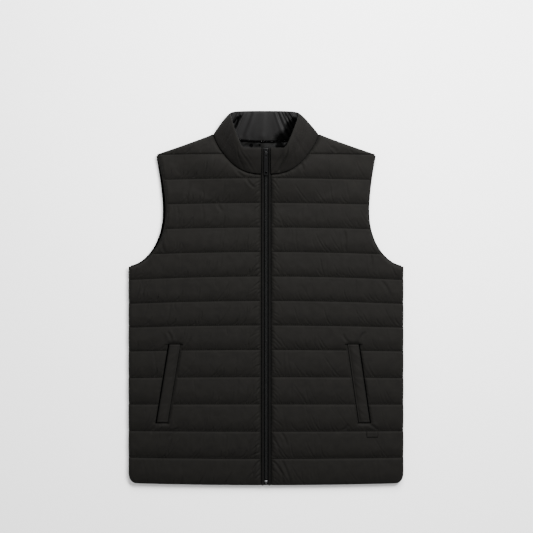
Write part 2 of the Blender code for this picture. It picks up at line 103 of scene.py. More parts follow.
STITCHES = [LOWER_CHANNEL * i for i in range(LOWER_COUNT + 1)] + [
    LOWER_CHANNEL * LOWER_COUNT + UPPER_CHANNEL * (i + 1) for i in range(UPPER_COUNT)
]
LINES = np.array(STITCHES + [STITCHES[-1] + UPPER_CHANNEL])

# Cloth
CELL = 3.8 * MM  # spacing of the cloth's points before its subdivision
GROW = 0.012  # how much longer the cloth is than the line that it is sewn to
FRAMES = 14
PRESSURE = 4.0
MOST_MOVE = 7 * MM
SIMULATED = 0.3  # how much of the simulation's movement is kept


# ---------------------------------------------------------------- outline of the cut


def smooth(t):
    t = np.clip(t, 0.0, 1.0)
    return t * t * (3 - 2 * t)


def mix(a, b, t):
    return a + (b - a) * t


def place(x, h, z):
    return (x, h - LENGTH / 2, z)


def droop(h, x):
    """How far the stitch lines hang towards the sides."""
    most = np.interp(h, (0, 410 * MM, 652 * MM, NECK_POINT_H), (-4 * MM, 7 * MM, 3.5 * MM, 0))
    return most * (x / CHEST_HALF) ** 2


def puff(share):
    """Section of a channel: 0 at its stitch lines, which have steep, narrow sides, and 1 at its crown."""
    share = np.asarray(share, float)
    crown = 0.56
    foot = np.clip((share - 0.009) / 0.011, 0, 1)
    head = np.clip((0.991 - share) / 0.011, 0, 1)
    below = 0.2 + 0.8 * (1 - (1 - np.clip(share / crown, 0, 1)) ** 2.4)
    above = 1 - 0.16 * np.clip((share - crown) / (1 - crown), 0, 1) ** 2
    return foot * below * above * head


def row_height(x, h):
    """Height on the straight cut of a point that lies at (x, h): the droop taken out."""
    return h + droop(h + droop(h, x), x)


def channel_share(h):
    """How far up its channel a height on the cut is, from 0 at one stitch line to 1 at the next."""
    h = np.clip(h, 0, LINES[-1] - 1e-9)
    low = np.searchsorted(LINES, h + 1e-9, side="right") - 1
    return (h - LINES[low]) / (LINES[low + 1] - LINES[low])


def armhole(inset, shows=0.0):
    """Points (half width, h) up the armhole, moved into the cloth."""
    points = []
    for i in range(81):
        t = i / 80
        h = mix(UNDERARM_H, ARM_WAIST_H, min(1.0, 2 * t) ** 1.6)
        fall = (ARM_WAIST_H - h) / (ARM_WAIST_H - UNDERARM_H)
        half = ARM_WAIST_HALF + (CHEST_HALF - ARM_WAIST_HALF) * (1 - (1 - fall**2.2) ** 0.58)
        if t > 0.5:
            rise = 2 * t - 1
            h = mix(ARM_WAIST_H, SHOULDER_TIP_H, rise)
            half = mix(ARM_WAIST_HALF, SHOULDER_TIP_HALF, rise**1.6)
        points.append(Vector((half, h)))
    moved = []
    for i, point in enumerate(points):
        along = points[min(i + 1, 80)] - points[max(i - 1, 0)]
        inward = Vector((-along.y, along.x)).normalized()
        swing = math.sin(math.pi * i / 80) ** (0.6 if i > 40 else 1.0)
        moved.append(point + inward * (inset + shows * swing))
    return [tuple(p) for p in moved]


def shoulder_h(x):
    share = (x - NECK_POINT_HALF) / (SHOULDER_TIP_HALF - NECK_POINT_HALF)
    return NECK_POINT_H - (NECK_POINT_H - SHOULDER_TIP_H) * max(share, 0) ** 0.93


def neck_front_h(x):
    return NECK_FRONT_H + (NECK_POINT_H - NECK_FRONT_H) * (np.abs(x) / NECK_POINT_HALF) ** 2.75


def neck_back_h(x):
    return NECK_BACK_H + (NECK_POINT_H - NECK_BACK_H) * (np.abs(x) / NECK_POINT_HALF) ** 2.2


def lift(x, h):
    """How far the front stands off the back round the open neck."""
    reach = np.hypot(x / NECK_POINT_HALF, (NECK_POINT_H - h) / (NECK_POINT_H - NECK_FRONT_H))
    return NECK_LIFT * smooth((1.9 - reach) / 0.9) * smooth((NECK_POINT_H - h) / (60 * MM))


def hem_h(x):
    return HEM_RISE * (x / CHEST_HALF) ** 2


def side_edge():
    """Points up the side seam, from the hem's corner to the underarm."""
    points = []
    for i in range(9):
        a = math.pi / 2 * i / 8
        x = CHEST_HALF - HEM_CORNER * (1 - math.sin(a))
        points.append((x, HEM_CORNER * (1 - math.cos(a)) + hem_h(x)))
    for i in range(1, 200):
        h = mix(HEM_CORNER + HEM_RISE, UNDERARM_H, i / 200)
        share = channel_share(row_height(CHEST_HALF, h))
        points.append((CHEST_HALF + SIDE_SCALLOP * float(puff(share)), h))
    return points


def half_outline(inset, shows, neck, inner):
    """Outline of one half of the vest at +X, from the hem's inner end round to the neck's."""
    bottom = [(x, hem_h(x)) for x in np.linspace(inner, CHEST_HALF - HEM_CORNER, 30)[:-1]]
    arm = [p for p in armhole(inset, shows) if p[1] < shoulder_h(p[0]) - 0.5 * MM]
    tip = arm[-1][0]
    top = [(x, shoulder_h(x)) for x in np.linspace(tip, NECK_POINT_HALF, 20)]
    collar_side = [(x, float(neck(x))) for x in np.linspace(NECK_POINT_HALF, inner, 40)[1:]]
    return bottom + side_edge() + arm + top + collar_side


def resample(points, spacing):
    """Points evenly round a closed line, with its sharp corners kept."""
    p = np.array(points + points[:1], float)
    keep = [0]
    for i in range(1, len(p) - 1):
        a, b = p[i] - p[i - 1], p[i + 1] - p[i]
        turn = abs(math.atan2(a[0] * b[1] - a[1] * b[0], a @ b))
        if turn > 0.6:
            keep.append(i)
    keep.append(len(p) - 1)
    out = []
    for a, b in zip(keep, keep[1:]):
        part = p[a : b + 1]
        along = np.concatenate([[0], np.cumsum(np.hypot(*np.diff(part, axis=0).T))])
        count = max(1, round(along[-1] / spacing))
        for s in np.linspace(0, along[-1], count + 1)[:-1]:
            out.append([np.interp(s, along, part[:, 0]), np.interp(s, along, part[:, 1])])
    return np.array(out)


def inside(points, loop):
    """Which points lie inside a closed loop."""
    x, y = points[:, 0], points[:, 1]
    found = np.zeros(len(points), bool)
    for (x0, y0), (x1, y1) in zip(loop, np.roll(loop, -1, axis=0)):
        crosses = (y0 > y) != (y1 > y)
        at = x0 + (y - y0) * (x1 - x0) / (y1 - y0 if y1 != y0 else 1)
        found ^= crosses & (x < at)
    return found


def edge_distance(points, loop):
    """Distance of each point from a closed loop."""
    marks = []
    for a, b in zip(loop, np.roll(loop, -1, axis=0)):
        pieces = max(1, math.ceil(np.hypot(*(b - a)) / (0.8 * MM)))
        marks += [mix(a, b, k / pieces) for k in range(pieces)]
    tree = KDTree(len(marks))
    for i, (x, y) in enumerate(marks):
        tree.insert((x, y, 0), i)
    tree.balance()
    return np.array([tree.find((x, y, 0))[2] for x, y in points])


def triangles_in(loop, points):
    """Triangles between an outline and the points inside it."""
    every = np.vstack([loop, points])
    verts, _, faces, _, _, _ = delaunay_2d_cdt(
        [Vector(p) for p in every * 1000], [], [list(range(len(loop)))], 1, 1e-4, False
    )
    verts = np.array([tuple(v) for v in verts]) / 1000
    faces = np.array([tuple(f) for f in faces])
    return verts, faces[inside(verts[faces].mean(1), loop)]


def cloth_rows(loop, spacing):
    """Points inside the outline, in staggered rows along the stitch lines, closer beside each line."""
    low, high = loop.min(0), loop.max(0)
    rows = []
    for a, b in zip(LINES, LINES[1:]):
        count = max(2, round((b - a) / (spacing * 0.88)))
        for k in range(count):
            h = mix(a, b, k / count)
            x = np.arange(low[0] + (k % 2) * spacing / 2, high[0], spacing)
            rows.append(np.column_stack([x, h - droop(h, x)]))
        for h in (a + 0.45 * MM, a + 1.05 * MM, b - 1.05 * MM, b - 0.45 * MM):
            rows.append(np.column_stack([x, h - droop(h, x)]))
    points = np.vstack(rows)
    points = points[inside(points, loop)]
    return points[edge_distance(points, loop) > 0.5 * spacing]


def near_stitch(points, within):
    """Which points lie on a stitch line."""
    h = row_height(points[:, 0], points[:, 1])
    return np.abs(h[:, None] - LINES[None, :]).min(1) < within


# ---------------------------------------------------------------- objects and cloth


def add_object(name, data):
    obj = bpy.data.objects.new(name, data)
    bpy.context.scene.collection.objects.link(obj)
    return obj


def mesh_object(name, points, faces, material_used, smooth_shaded=True):
    data = bpy.data.meshes.new(name)
    data.from_pydata([tuple(p) for p in points], [], [tuple(f) for f in faces])
    data.update()
    if smooth_shaded:
        data.shade_smooth()
    data.materials.append(material_used)
    return add_object(name, data)


def read_points(data):
    flat = np.zeros(len(data.vertices) * 3, np.float32)
    data.vertices.foreach_get("co", flat)
    return flat.reshape(-1, 3).astype(float)


def write_points(data, points):
    data.vertices.foreach_set("co", points.astype(np.float32).ravel())
    data.update()


def subdivide(obj):
    """One subdivision, applied."""
    finer = obj.modifiers.new("finer", "SUBSURF")
    finer.levels = finer.render_levels = 1
    graph = bpy.context.evaluated_depsgraph_get()
    data = bpy.data.meshes.new_from_object(obj.evaluated_get(graph))
    obj.modifiers.clear()
    obj.data = data
    data.shade_smooth()


def on_cloth(tree, x, y, above):
    """Point that far above the cloth at (x, y)."""
    hit = tree.ray_cast(Vector((x, y, 0.2)), Vector((0, 0, -1)))[0]
    return (x, y, (hit.z if hit else FRONT_BASE + SEAM_THICKNESS) + above)


def inflate(obj, pinned):
    """How far each point moves when the cloth is blown up between the points that are sewn down."""
    start = read_points(obj.data)
    group = obj.vertex_groups.new(name="sewn")
    group.add([int(i) for i in np.flatnonzero(pinned)], 1.0, "REPLACE")
    cloth = obj.modifiers.new("air", "CLOTH")
    settings = cloth.settings
    settings.vertex_group_mass = "sewn"
    settings.use_pressure = True
    settings.uniform_pressure_force = PRESSURE
    settings.shrink_min = -GROW
    settings.quality = 5
    settings.tension_stiffness = 25
    settings.compression_stiffness = 12
    settings.shear_stiffness = 6
    settings.bending_stiffness = 0.15
    settings.effector_weights.gravity = 0
    cloth.collision_settings.use_collision = False
    cloth.point_cache.frame_start = 1
    cloth.point_cache.frame_end = FRAMES
    for step in range(1, FRAMES + 1):
        bpy.context.scene.frame_set(step)
    graph = bpy.context.evaluated_depsgraph_get()
    end = read_points(obj.evaluated_get(graph).data)
    obj.modifiers.remove(cloth)
    obj.vertex_groups.remove(group)
    bpy.context.scene.frame_set(1)
    move = end - start
    size = np.linalg.norm(move, axis=1)
    return move * np.minimum(1, MOST_MOVE / np.maximum(size, 1e-9))[:, None]


def wall(name, outer, inner, material_used):
    """Closed wall between two grids of points of the same size."""
    rows, columns = len(outer), len(outer[0])
    points = [p for row in outer for p in row] + [p for row in inner for p in row]
    under = rows * columns
    last = columns - 1
    end = (rows - 1) * columns
    faces = []
    for r in range(rows - 1):
        for c in range(last):
            a = r * columns + c
            b, e, f = a + 1, a + columns + 1, a + columns
            faces.append((a, b, e, f))
            faces.append((under + a, under + f, under + e, under + b))
    for c in range(last):
        faces.append((c, under + c, under + c + 1, c + 1))
        faces.append((end + c, end + c + 1, under + end + c + 1, under + end + c))
    for r in range(rows - 1):
        a, b = r * columns, (r + 1) * columns
        faces.append((a, b, under + b, under + a))
        faces.append((a + last, under + a + last, under + b + last, b + last))
    obj = mesh_object(name, points, faces, material_used)
    work = bmesh.new()
    work.from_mesh(obj.data)
    bmesh.ops.recalc_face_normals(work, faces=work.faces[:])
    work.to_mesh(obj.data)
    work.free()
    return obj


def ride(obj, slot, *replaced, body="vest"):
    """Give a piece its body and hide the solids that it stands for. slot is not used."""
    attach(obj, body)
    if replaced:
        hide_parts(*replaced)
    return obj


def waves(x, y, across, along, seed):
    """Soft noise from -1 to 1, stretched to waves of the two given lengths."""
    return np.array([noise.noise(Vector((a / across, b / along, seed))) for a, b in zip(x, y)]) * 1.6


# ---------------------------------------------------------------- materials


MOTTLE = 0.1  # how far a colour wanders from its mean


def material(name, colour, roughness, metallic=0.0, sheen=0.0, specular=0.5, weave=0.0, thread=0.5 * MM):
    """Cloth, paint or metal. weave is how strongly the threads show, and thread is how far apart they are."""
    made = bpy.data.materials.new(name)
    made.use_nodes = True
    nodes, links = made.node_tree.nodes, made.node_tree.links
    shader = nodes["Principled BSDF"]
    shader.inputs["Roughness"].default_value = roughness
    shader.inputs["Metallic"].default_value = metallic
    shader.inputs["Sheen Weight"].default_value = sheen
    shader.inputs["Sheen Roughness"].default_value = 0.5
    shader.inputs["Specular IOR Level"].default_value = specular
    where = nodes.new("ShaderNodeTexCoord")
    spots = nodes.new("ShaderNodeTexNoise")
    spots.inputs["Scale"].default_value = 60
    spots.inputs["Detail"].default_value = 3
    ramp = nodes.new("ShaderNodeValToRGB")
    for stop, position, share in zip(ramp.color_ramp.elements, (0.3, 0.7), (1 - MOTTLE, 1 + MOTTLE)):
        stop.position = position
        stop.color = (*[c * share for c in colour], 1)
    links.new(where.outputs["Object"], spots.inputs["Vector"])
    links.new(spots.outputs["Fac"], ramp.inputs["Fac"])
    links.new(ramp.outputs["Color"], shader.inputs["Base Color"])
    if weave:
        both = nodes.new("ShaderNodeMath")
        both.operation = "MULTIPLY"
        for direction, crossing in zip(("X", "Y"), both.inputs):
            threads = nodes.new("ShaderNodeTexWave")
            threads.bands_direction = direction
            threads.inputs["Scale"].default_value = 0.314 / thread
            threads.inputs["Distortion"].default_value = 1.5
            links.new(where.outputs["Object"], threads.inputs["Vector"])
            links.new(threads.outputs["Fac"], crossing)
        bump = nodes.new("ShaderNodeBump")
        bump.inputs["Strength"].default_value = weave
        bump.inputs["Distance"].default_value = 0.1 * MM
        links.new(both.outputs[0], bump.inputs["Height"])
        links.new(bump.outputs["Normal"], shader.inputs["Normal"])
    return made


SHELL_LOOK = {"roughness": 0.75, "sheen": 0.012, "specular": 0.045, "weave": 0.25}
SHELL = material("shell_nylon", (0.0048, 0.0045, 0.0040), **SHELL_LOOK)
# The shell cloth again, darker on the collar: painted shade for its sloping front.
COLLAR = material("collar_nylon_painted_shade", (0.0040, 0.0037, 0.0033), **SHELL_LOOK)
LINING_LOOK = {"roughness": 0.5, "weave": 0.12, "thread": 0.4 * MM}
LINING = material("lining_nylon", (0.0027, 0.0026, 0.0026), sheen=0.01, specular=0.055, **LINING_LOOK)
# The neck lining is the lining cloth made darker: painted shade for the recess that it lies in.
YOKE = material("neck_lining_painted_shade", (0.0012, 0.0012, 0.0011), sheen=0.01, specular=0.04, **LINING_LOOK)
PAINTED_SHADES = []  # the lining again, darker and less shiny in steps: painted shade for the hollows that light doesn't reach
for light in (0.75, 0.5, 0.3, 0.12):
    grey = [0.0026 * light] * 3
    shine = {"sheen": 0.01 * light, "specular": 0.055 * light}
    PAINTED_SHADES.append(material(f"lining_painted_shade_{light}", grey, **shine, **LINING_LOOK))
BAND = material("front_band_nylon", (0.0028, 0.0026, 0.0024), 0.72, sheen=0.012, specular=0.04, weave=0.25)
DARK = material("shade_black", (0.0006, 0.0006, 0.0006), 0.9, specular=0.0)
TAPE = material("zip_tape", (0.0026, 0.0027, 0.0027), 0.85, specular=0.04, weave=0.6, thread=0.7 * MM)
COIL = material("zip_coil", (0.0027, 0.0028, 0.0027), 0.5, specular=0.11)
BLACK = material("slider_paint", (0.0018, 0.0018, 0.0019), 0.34, specular=0.13)
GUNMETAL = material("worn_metal", (0.035, 0.035, 0.036), 0.28, metallic=0.9)
STEEL = material("bare_metal", (0.15, 0.15, 0.155), 0.4, metallic=1.0)
PIN = material("dull_metal", (0.03, 0.03, 0.03), 0.5, metallic=0.8)
# Near-black thread: the stitches are real, drawn darker and wider than thread so that they also paint the
# shade in the stitch grooves and along the seams.
THREAD_AND_SHADE = material("thread", (0.0008, 0.0008, 0.0008), 0.8, specular=0.0)


# ---------------------------------------------------------------- quilted panels


def welt_box(side):
    """Corners of the pocket welt on the +X half: its inner and outer edges, low and high."""
    low, high = WELT_LOW_X[side], WELT_HIGH_X[side]
    lower = [(low - WELT_WIDTH, WELT_LOW_H), (low, WELT_LOW_H)]
    return lower + [(high, WELT_HIGH_H), (high - WELT_WIDTH, WELT_HIGH_H)]


# Larger creases of the fronts: the two ends (x, h) of each, its width and its depth, in millimetres.
CREASES = {
    "right": (
        (14, 47, 26, 24, 2.2, 1.5), (26, 24, 38, 5, 2.2, 1.3), (22, 100, 34, 74, 2.4, 1.2),
        (13, 86, 24, 62, 2.2, 1.0), (37, 600, 24, 586, 2.4, 1.3), (60, 622, 44, 606, 2.6, 1.0),
        (205, 486, 201, 461, 3, 1.3), (150, 590, 158, 566, 3, 0.9), (118, 668, 128, 656, 3, 1.0),
        (173, 112, 188, 96, 2.6, 1.2), (214, 118, 224, 104, 2.6, 1.2), (186, 284, 192, 300, 2.6, 1.3),
        (168, 284, 160, 298, 2.4, 1.0), (230, 402, 244, 380, 3, 0.9), (96, 560, 88, 541, 3, 0.9),
    ),
    "left": (
        (14, 47, 29, 27, 2.2, 1.5), (29, 27, 33, 5, 2.2, 1.3), (32, 47, 48, 5, 2.4, 1.1),
        (13, 96, 25, 68, 2.2, 1.1), (30, 103, 40, 82, 2.4, 1.0), (20, 602, 10, 588, 2.2, 1.3),
        (67, 633, 72, 618, 3, 1.2), (153, 500, 155, 463, 2.8, 1.1), (204, 454, 206, 432, 2.8, 1.0),
        (160, 118, 150, 108, 2.4, 1.2), (206, 118, 217, 109, 2.6, 1.2), (184, 284, 194, 300, 2.6, 1.3),
        (160, 283, 152, 296, 2.4, 1.1), (228, 400, 242, 376, 3, 0.9), (128, 664, 138, 655, 3, 1.0),
    ),
}


def small_creases(side):
    """Puckers that the stitching pulls into each channel. They lean towards the zip at their upper end."""
    dice = np.random.default_rng(11 if side == "left" else 4)
    share = {"left": 0.9, "right": 1.4}[side]
    made = []
    for low, high in zip(LINES[:-1] / MM, LINES[1:] / MM):
        tall = high - low
        for i in range(24):  # up from the lower stitch line, short ones and a few long ones
            x = dice.uniform(14, 262)
            length = (dice.uniform(0.08, 0.3) if i < 17 else dice.uniform(0.3, 0.65)) * tall
            lean = dice.uniform(0.15, 0.85) * length
            depth = dice.uniform(0.3, 1.0) * share
            made.append((x, low + 0.5, x - lean, low + 0.5 + length, dice.uniform(0.9, 1.5), depth))
        for _ in range(5):  # down from the upper one
            x = dice.uniform(14, 262)
            length = dice.uniform(0.12, 0.4) * tall
            lean = dice.uniform(-0.1, 0.6) * length
            depth = dice.uniform(0.15, 0.4)
            made.append((x, high - 2, x + lean, high - 2 - length, dice.uniform(1.1, 1.6), depth))
        for _ in range(7):  # out from the zip
            h = dice.uniform(low + 4, high - 3)
            length = dice.uniform(5, 20)
            drop = dice.uniform(0.4, 1.3) * length
            depth = dice.uniform(0.35, 0.9) * share
            made.append((10.5, h, 10.5 + length, h - drop, dice.uniform(1.0, 1.6), depth))
        for _ in range(2):  # a long soft one across the crown
            x = dice.uniform(30, 250)
            lean = dice.uniform(-6, 10)
            made.append((x, low + 6, x - lean, high - 8, dice.uniform(1.6, 2.6), dice.uniform(0.2, 0.45)))
    return made


def creased(points, side):
    """Height that the creases add to or take off the cloth at each point."""
    change = np.zeros(len(points))
    for x0, h0, x1, h1, width, depth in list(CREASES[side]) + small_creases(side):
        a, b = np.array((x0, h0)) * MM, np.array((x1, h1)) * MM
        along = b - a
        reach = np.abs(along) * 0.7 + 5 * width * MM
        near = np.flatnonzero((np.abs(points - (a + b) / 2) < reach).all(1))
        close = points[near]
        t = ((close - a) @ along) / (along @ along)
        bend = 1.5 * MM * np.sin(t * 3)
        normal = np.array((-along[1], along[0])) / np.hypot(*along)
        off = (close - a) @ normal - bend
        fade = smooth((t + 0.25) / 0.35) * smooth((1.25 - t) / 0.35)
        trough = np.exp(-((off / (width * MM)) ** 2))
        ridge = np.exp(-(((np.abs(off) - 2 * width * MM) / (width * MM)) ** 2))
        change[near] += fade * depth * MM * (0.4 * ridge - trough)
    return change


def close_below(obj, loop, under, sign=1):
    """Side walls from the cloth's rim down to under(x, h), and a coarser sheet there."""
    low, high = loop.min(0), loop.max(0)
    coarse = 20 * MM
    xs, hs = np.arange(low[0], high[0], coarse), np.arange(low[1], high[1], coarse)
    grid = np.array([(x, h) for x in xs for h in hs])
    grid = grid[inside(grid, loop)]
    grid = grid[edge_distance(grid, loop) > 8 * MM]
    flat, below = triangles_in(loop, grid)
    work = bmesh.new()
    work.from_mesh(obj.data)
    rim = [e for e in work.edges if e.is_boundary]
    made = bmesh.ops.extrude_edge_only(work, edges=rim)["geom"]
    for v in [g for g in made if isinstance(g, bmesh.types.BMVert)]:
        v.co.z = float(under(v.co.x * sign, v.co.y + LENGTH / 2))
    lower = [work.verts.new((sign * x, h - LENGTH / 2, float(under(x, h)))) for x, h in flat]
    for f in below:
        work.faces.new([lower[i] for i in f])
    bmesh.ops.recalc_face_normals(work, faces=work.faces[:])
    work.to_mesh(obj.data)
    work.free()
    obj.data.shade_smooth()


# The default width is wider than real thread, so that the stitches also paint the shade of their groove.
def thread_line(points, normal=(0, 0, 1), pitch=2.8 * MM, length=2.5 * MM, width=1.3 * MM):
    """Corner points and faces of stitches along a line of points."""
    along = np.concatenate([[0], np.cumsum(np.linalg.norm(np.diff(points, axis=0), axis=1))])
    verts, faces = [], []
    up = np.array(normal) * width * 0.5

    def on_line(s):
        return np.array([np.interp(s, along, points[:, k]) for k in range(3)])

    for s in np.arange(pitch / 2, along[-1] - pitch / 2, pitch):
        a, b = on_line(s - length / 2), on_line(s + length / 2)
        side = np.cross(b - a, normal)
        side = side / np.linalg.norm(side) * width / 2
        first = len(verts)
        for end, high in ((a, 0.2), (a * 0.75 + b * 0.25, 1.0), (a * 0.25 + b * 0.75, 1.0), (b, 0.2)):
            verts += [end - side - up, end + up * high, end + side - up]
        for k in range(3):
            q = first + 3 * k
            faces += [(q, q + 1, q + 4, q + 3), (q + 1, q + 2, q + 5, q + 4)]
    return verts, faces


def sew(name, lines, **sizes):
    """Stitches along each line, as one piece."""
    verts, faces = [], []
    for line in lines:
        more, made = thread_line(np.array(line, float), **sizes)
        faces += [tuple(len(verts) + i for i in f) for f in made]
        verts += more
    return ride(mesh_object(name, verts, faces, THREAD_AND_SHADE), "trim")


def front_height(x, h, rim, far_from_welt):
    """Height of the front's cloth before it is blown up, above FRONT_BASE and the lift."""
    share = channel_share(row_height(x, h))
    reach = np.where(x < 24 * MM, 9 * MM, 5.5 * MM)
    edge = np.sqrt(1 - (1 - np.clip(rim / reach, 0, 1)) ** 2)
    beside = smooth((far_from_welt - 0.8 * MM) / (3.6 * MM))
    sewn = mix(1.4 * MM, SEAM_THICKNESS, np.clip(rim / (6 * MM), 0, 1))
    return sewn + 0.66 * FRONT_PUFF * puff(share) * edge * beside


def distances(points, loop, welt):
    """How far each point is from the panel's edge and from the pocket welt, 0 on the welt."""
    return edge_distance(points, loop), np.where(inside(points, welt), 0, edge_distance(points, welt))


def front_panel(side):
    """One front, and a tree of its surface for the pieces that lie on it."""
    sign = SIGN[side]
    inset = BINDING_RADIUS * 1.1
    loop = resample(half_outline(inset, max(ARM_SHOWS[side], 0), neck_front_h, FRONT_INNER + 0.2 * MM), CELL)
    flat, faces = triangles_in(loop, cloth_rows(loop, CELL))
    x, h = flat.T
    welt = np.array(welt_box(side))
    rim, far = distances(flat, loop, welt)
    base = FRONT_BASE + lift(x, h)
    points = np.column_stack([sign * x, h - LENGTH / 2, base + front_height(x, h, rim, far)])
    panel = mesh_object(f"front_panel_{side}_cloth", points, faces[:, ::sign], SHELL)
    sewn = near_stitch(flat, 0.6 * MM) | (rim < 0.1 * MM) | (far < 0.3 * MM)
    done = points + SIMULATED * inflate(panel, sewn)
    share = channel_share(row_height(x, h))
    broad = waves(x, h, 80 * MM, 40 * MM, 7.0 + sign) * 0.4 * MM
    broad *= puff(share) * np.clip(rim / (20 * MM), 0, 1)
    done[:, 2] = np.maximum(done[:, 2] + broad, base + 1.0 * MM)
    write_points(panel.data, done)
    subdivide(panel)
    fine = read_points(panel.data)
    cut = np.column_stack([fine[:, 0] * sign, fine[:, 1] + LENGTH / 2])
    rim, far = distances(cut, loop, welt)
    above = fine[:, 2] - FRONT_BASE - lift(cut[:, 0], cut[:, 1])
    share = channel_share(row_height(cut[:, 0], cut[:, 1]))
    clear = np.clip(np.minimum(share, 1 - share) / 0.05, 0.15, 1) * np.clip(rim / (4 * MM), 0, 1)
    change = creased(cut, side) * clear * np.clip(far / (2 * MM), 0, 1)
    fine[:, 2] += np.where(above > 0.9 * MM, np.maximum(change, 0.7 * MM - above), 0)
    write_points(panel.data, fine)
    close_below(panel, loop, lambda a, b: FRONT_BASE + lift(a, b), sign)
    ride(panel, "shell", f"front_panel_{side}")
    tree = BVHTree.FromObject(panel, bpy.context.evaluated_depsgraph_get())
    front_stitches(side, tree, loop, welt)
    return tree


def front_stitches(side, tree, loop, welt):
    """Stitches along each line, where it is on the panel and off the pocket welt."""
    lines = []
    for line in STITCHES[1:]:
        x = np.linspace(FRONT_INNER + 1 * MM, CHEST_HALF, 140)
        h = line - 0.75 * MM - droop(line, x)
        cut = np.column_stack([x, h])
        on = inside(cut, loop) & ~inside(cut, welt)
        for part in np.split(np.arange(140), np.flatnonzero(~on)):
            part = [i for i in part if on[i]]
            if len(part) > 2:
                lines.append([on_cloth(tree, SIGN[side] * x[i], h[i] - LENGTH / 2, 0.2 * MM) for i in part])
    sew(f"front_stitches_{side}", lines)


def back_panel():
    """The back, face down, with its channels pressed flat where it lies on the surface."""
    inset = BINDING_RADIUS * 1.1
    half = {s: half_outline(inset, max(-ARM_SHOWS[s], 0), neck_back_h, 0) for s in SIGN}
    outline = half["left"] + [(-x, h) for x, h in half["right"][::-1]]
    loop = resample(outline, CELL)
    flat, faces = triangles_in(loop, cloth_rows(loop, CELL))
    x, h = flat.T
    rim = edge_distance(flat, loop)
    share = channel_share(row_height(x, h))
    groove = np.maximum(1 - np.abs(2 * share - 1) ** 9, 0) ** 0.8
    edge = np.sqrt(1 - (1 - np.clip(rim / (16 * MM), 0, 1)) ** 2)
    crown = groove * edge
    gather = waves(x, h, 7 * MM, 26 * MM, 11.0) * 1.6 * MM
    gather *= np.clip((1 - crown) * 2.2, 0, 1) * np.clip(rim / (4 * MM), 0, 1)
    gather = gather * np.where(near_stitch(flat, 0.5 * MM), 0.2, 1)
    z = (BACK_THICKNESS - SEAM_THICKNESS) * (1 - crown) + gather
    z = np.clip(z, 0, BACK_THICKNESS - 1.5 * MM)
    z = np.where((share > 0.22) & (share < 0.78) & (rim > 22 * MM), 0.0, z)
    points = np.column_stack([x, h - LENGTH / 2, z])
    panel = mesh_object("back_panel_cloth", points, faces[:, ::-1], SHELL)
    close_below(panel, loop, lambda a, b: BACK_THICKNESS)
    ride(panel, "shell", "back_panel")
    lines = []
    for line in STITCHES[1:]:
        a = np.linspace(-CHEST_HALF, CHEST_HALF, 200)
        b = line - droop(line, a)
        on = inside(np.column_stack([a, b]), loop)
        z = 0 * a + BACK_THICKNESS - SEAM_THICKNESS - 0.3 * MM
        lines.append(np.column_stack([a, b - LENGTH / 2, z])[on])
    sew("back_stitches", lines, normal=(0, 0, -1))


# ---------------------------------------------------------------- armholes, pockets and label


def binding_run(name, path, radius, material_used, seed):
    """Slightly uneven round tape along a path."""
    curve = bpy.data.curves.new(name, "CURVE")
    curve.dimensions = "3D"
    spline = curve.splines.new("POLY")
    spline.points.add(len(path) - 1)
    for i, (point, (x, h, z)) in enumerate(zip(spline.points, path)):
        ripple = 0.25 * MM * noise.noise(Vector((i * 0.7, seed, z * 300)))
        point.co = (x + ripple, h - LENGTH / 2, z + ripple, 1)
        point.radius = 1 + 0.1 * noise.noise(Vector((i * 0.45, 2.0, seed)))
    curve.bevel_depth = radius
    curve.bevel_resolution = 3
    curve.use_fill_caps = True
    curve.materials.append(material_used)
    obj = add_object(name, curve)
    ride(obj, "trim")
    return obj


def armhole_binding(side):
    """Folded tape round the armhole: a thin run along the front's edge and a wider, black one in painted shade
    along the back's, with a black sheet of painted shade where the back shows.
    """
    sign = SIGN[side]
    front = armhole(BINDING_RADIUS * 0.6, max(ARM_SHOWS[side], 0))
    back = armhole(BINDING_RADIUS, max(-ARM_SHOWS[side], 0))
    front_path = [(sign * x, h, FRONT_BASE + 1.0 * MM) for x, h in front[1:-1]]
    back_path = [(sign * x, h, BACK_THICKNESS - 1.7 * MM) for x, h in back[1:-1]]
    run = binding_run(f"armhole_binding_{side}_front", front_path, BINDING_RADIUS * 0.6, SHELL, 4.0 * sign)
    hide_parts(f"armhole_binding_{side}")
    # The back's run is black: painted shade for the armhole's inside.
    binding_run(f"armhole_binding_{side}_back", back_path, BINDING_RADIUS * 1.03, DARK, 9.0 * sign)
    if ARM_SHOWS[side] <= 0:
        return
    # Black sheet of painted shade on the back, where it shows past the front's armhole edge.
    outer, inner = [], []
    for edge, deep in zip(armhole(0.8 * MM)[2:-2], armhole(10 * MM)[2:-2]):
        row = [place(sign * x, h, BACK_THICKNESS + 0.25 * MM) for x, h in (edge, deep)]
        outer.append(row)
        inner.append([(x, y, z - 0.6 * MM) for x, y, z in row])
    ride(wall(f"armhole_painted_shade_{side}", outer, inner, DARK), "trim")


def welt_point(side, u, v):
    """Point on the pocket welt's middle plane. u runs from its inner to its outer edge, v up it."""
    inner_low, outer_low, outer_high, inner_high = (np.array(p) for p in welt_box(side))
    return mix(mix(inner_low, outer_low, u), mix(inner_high, outer_high, u), v)


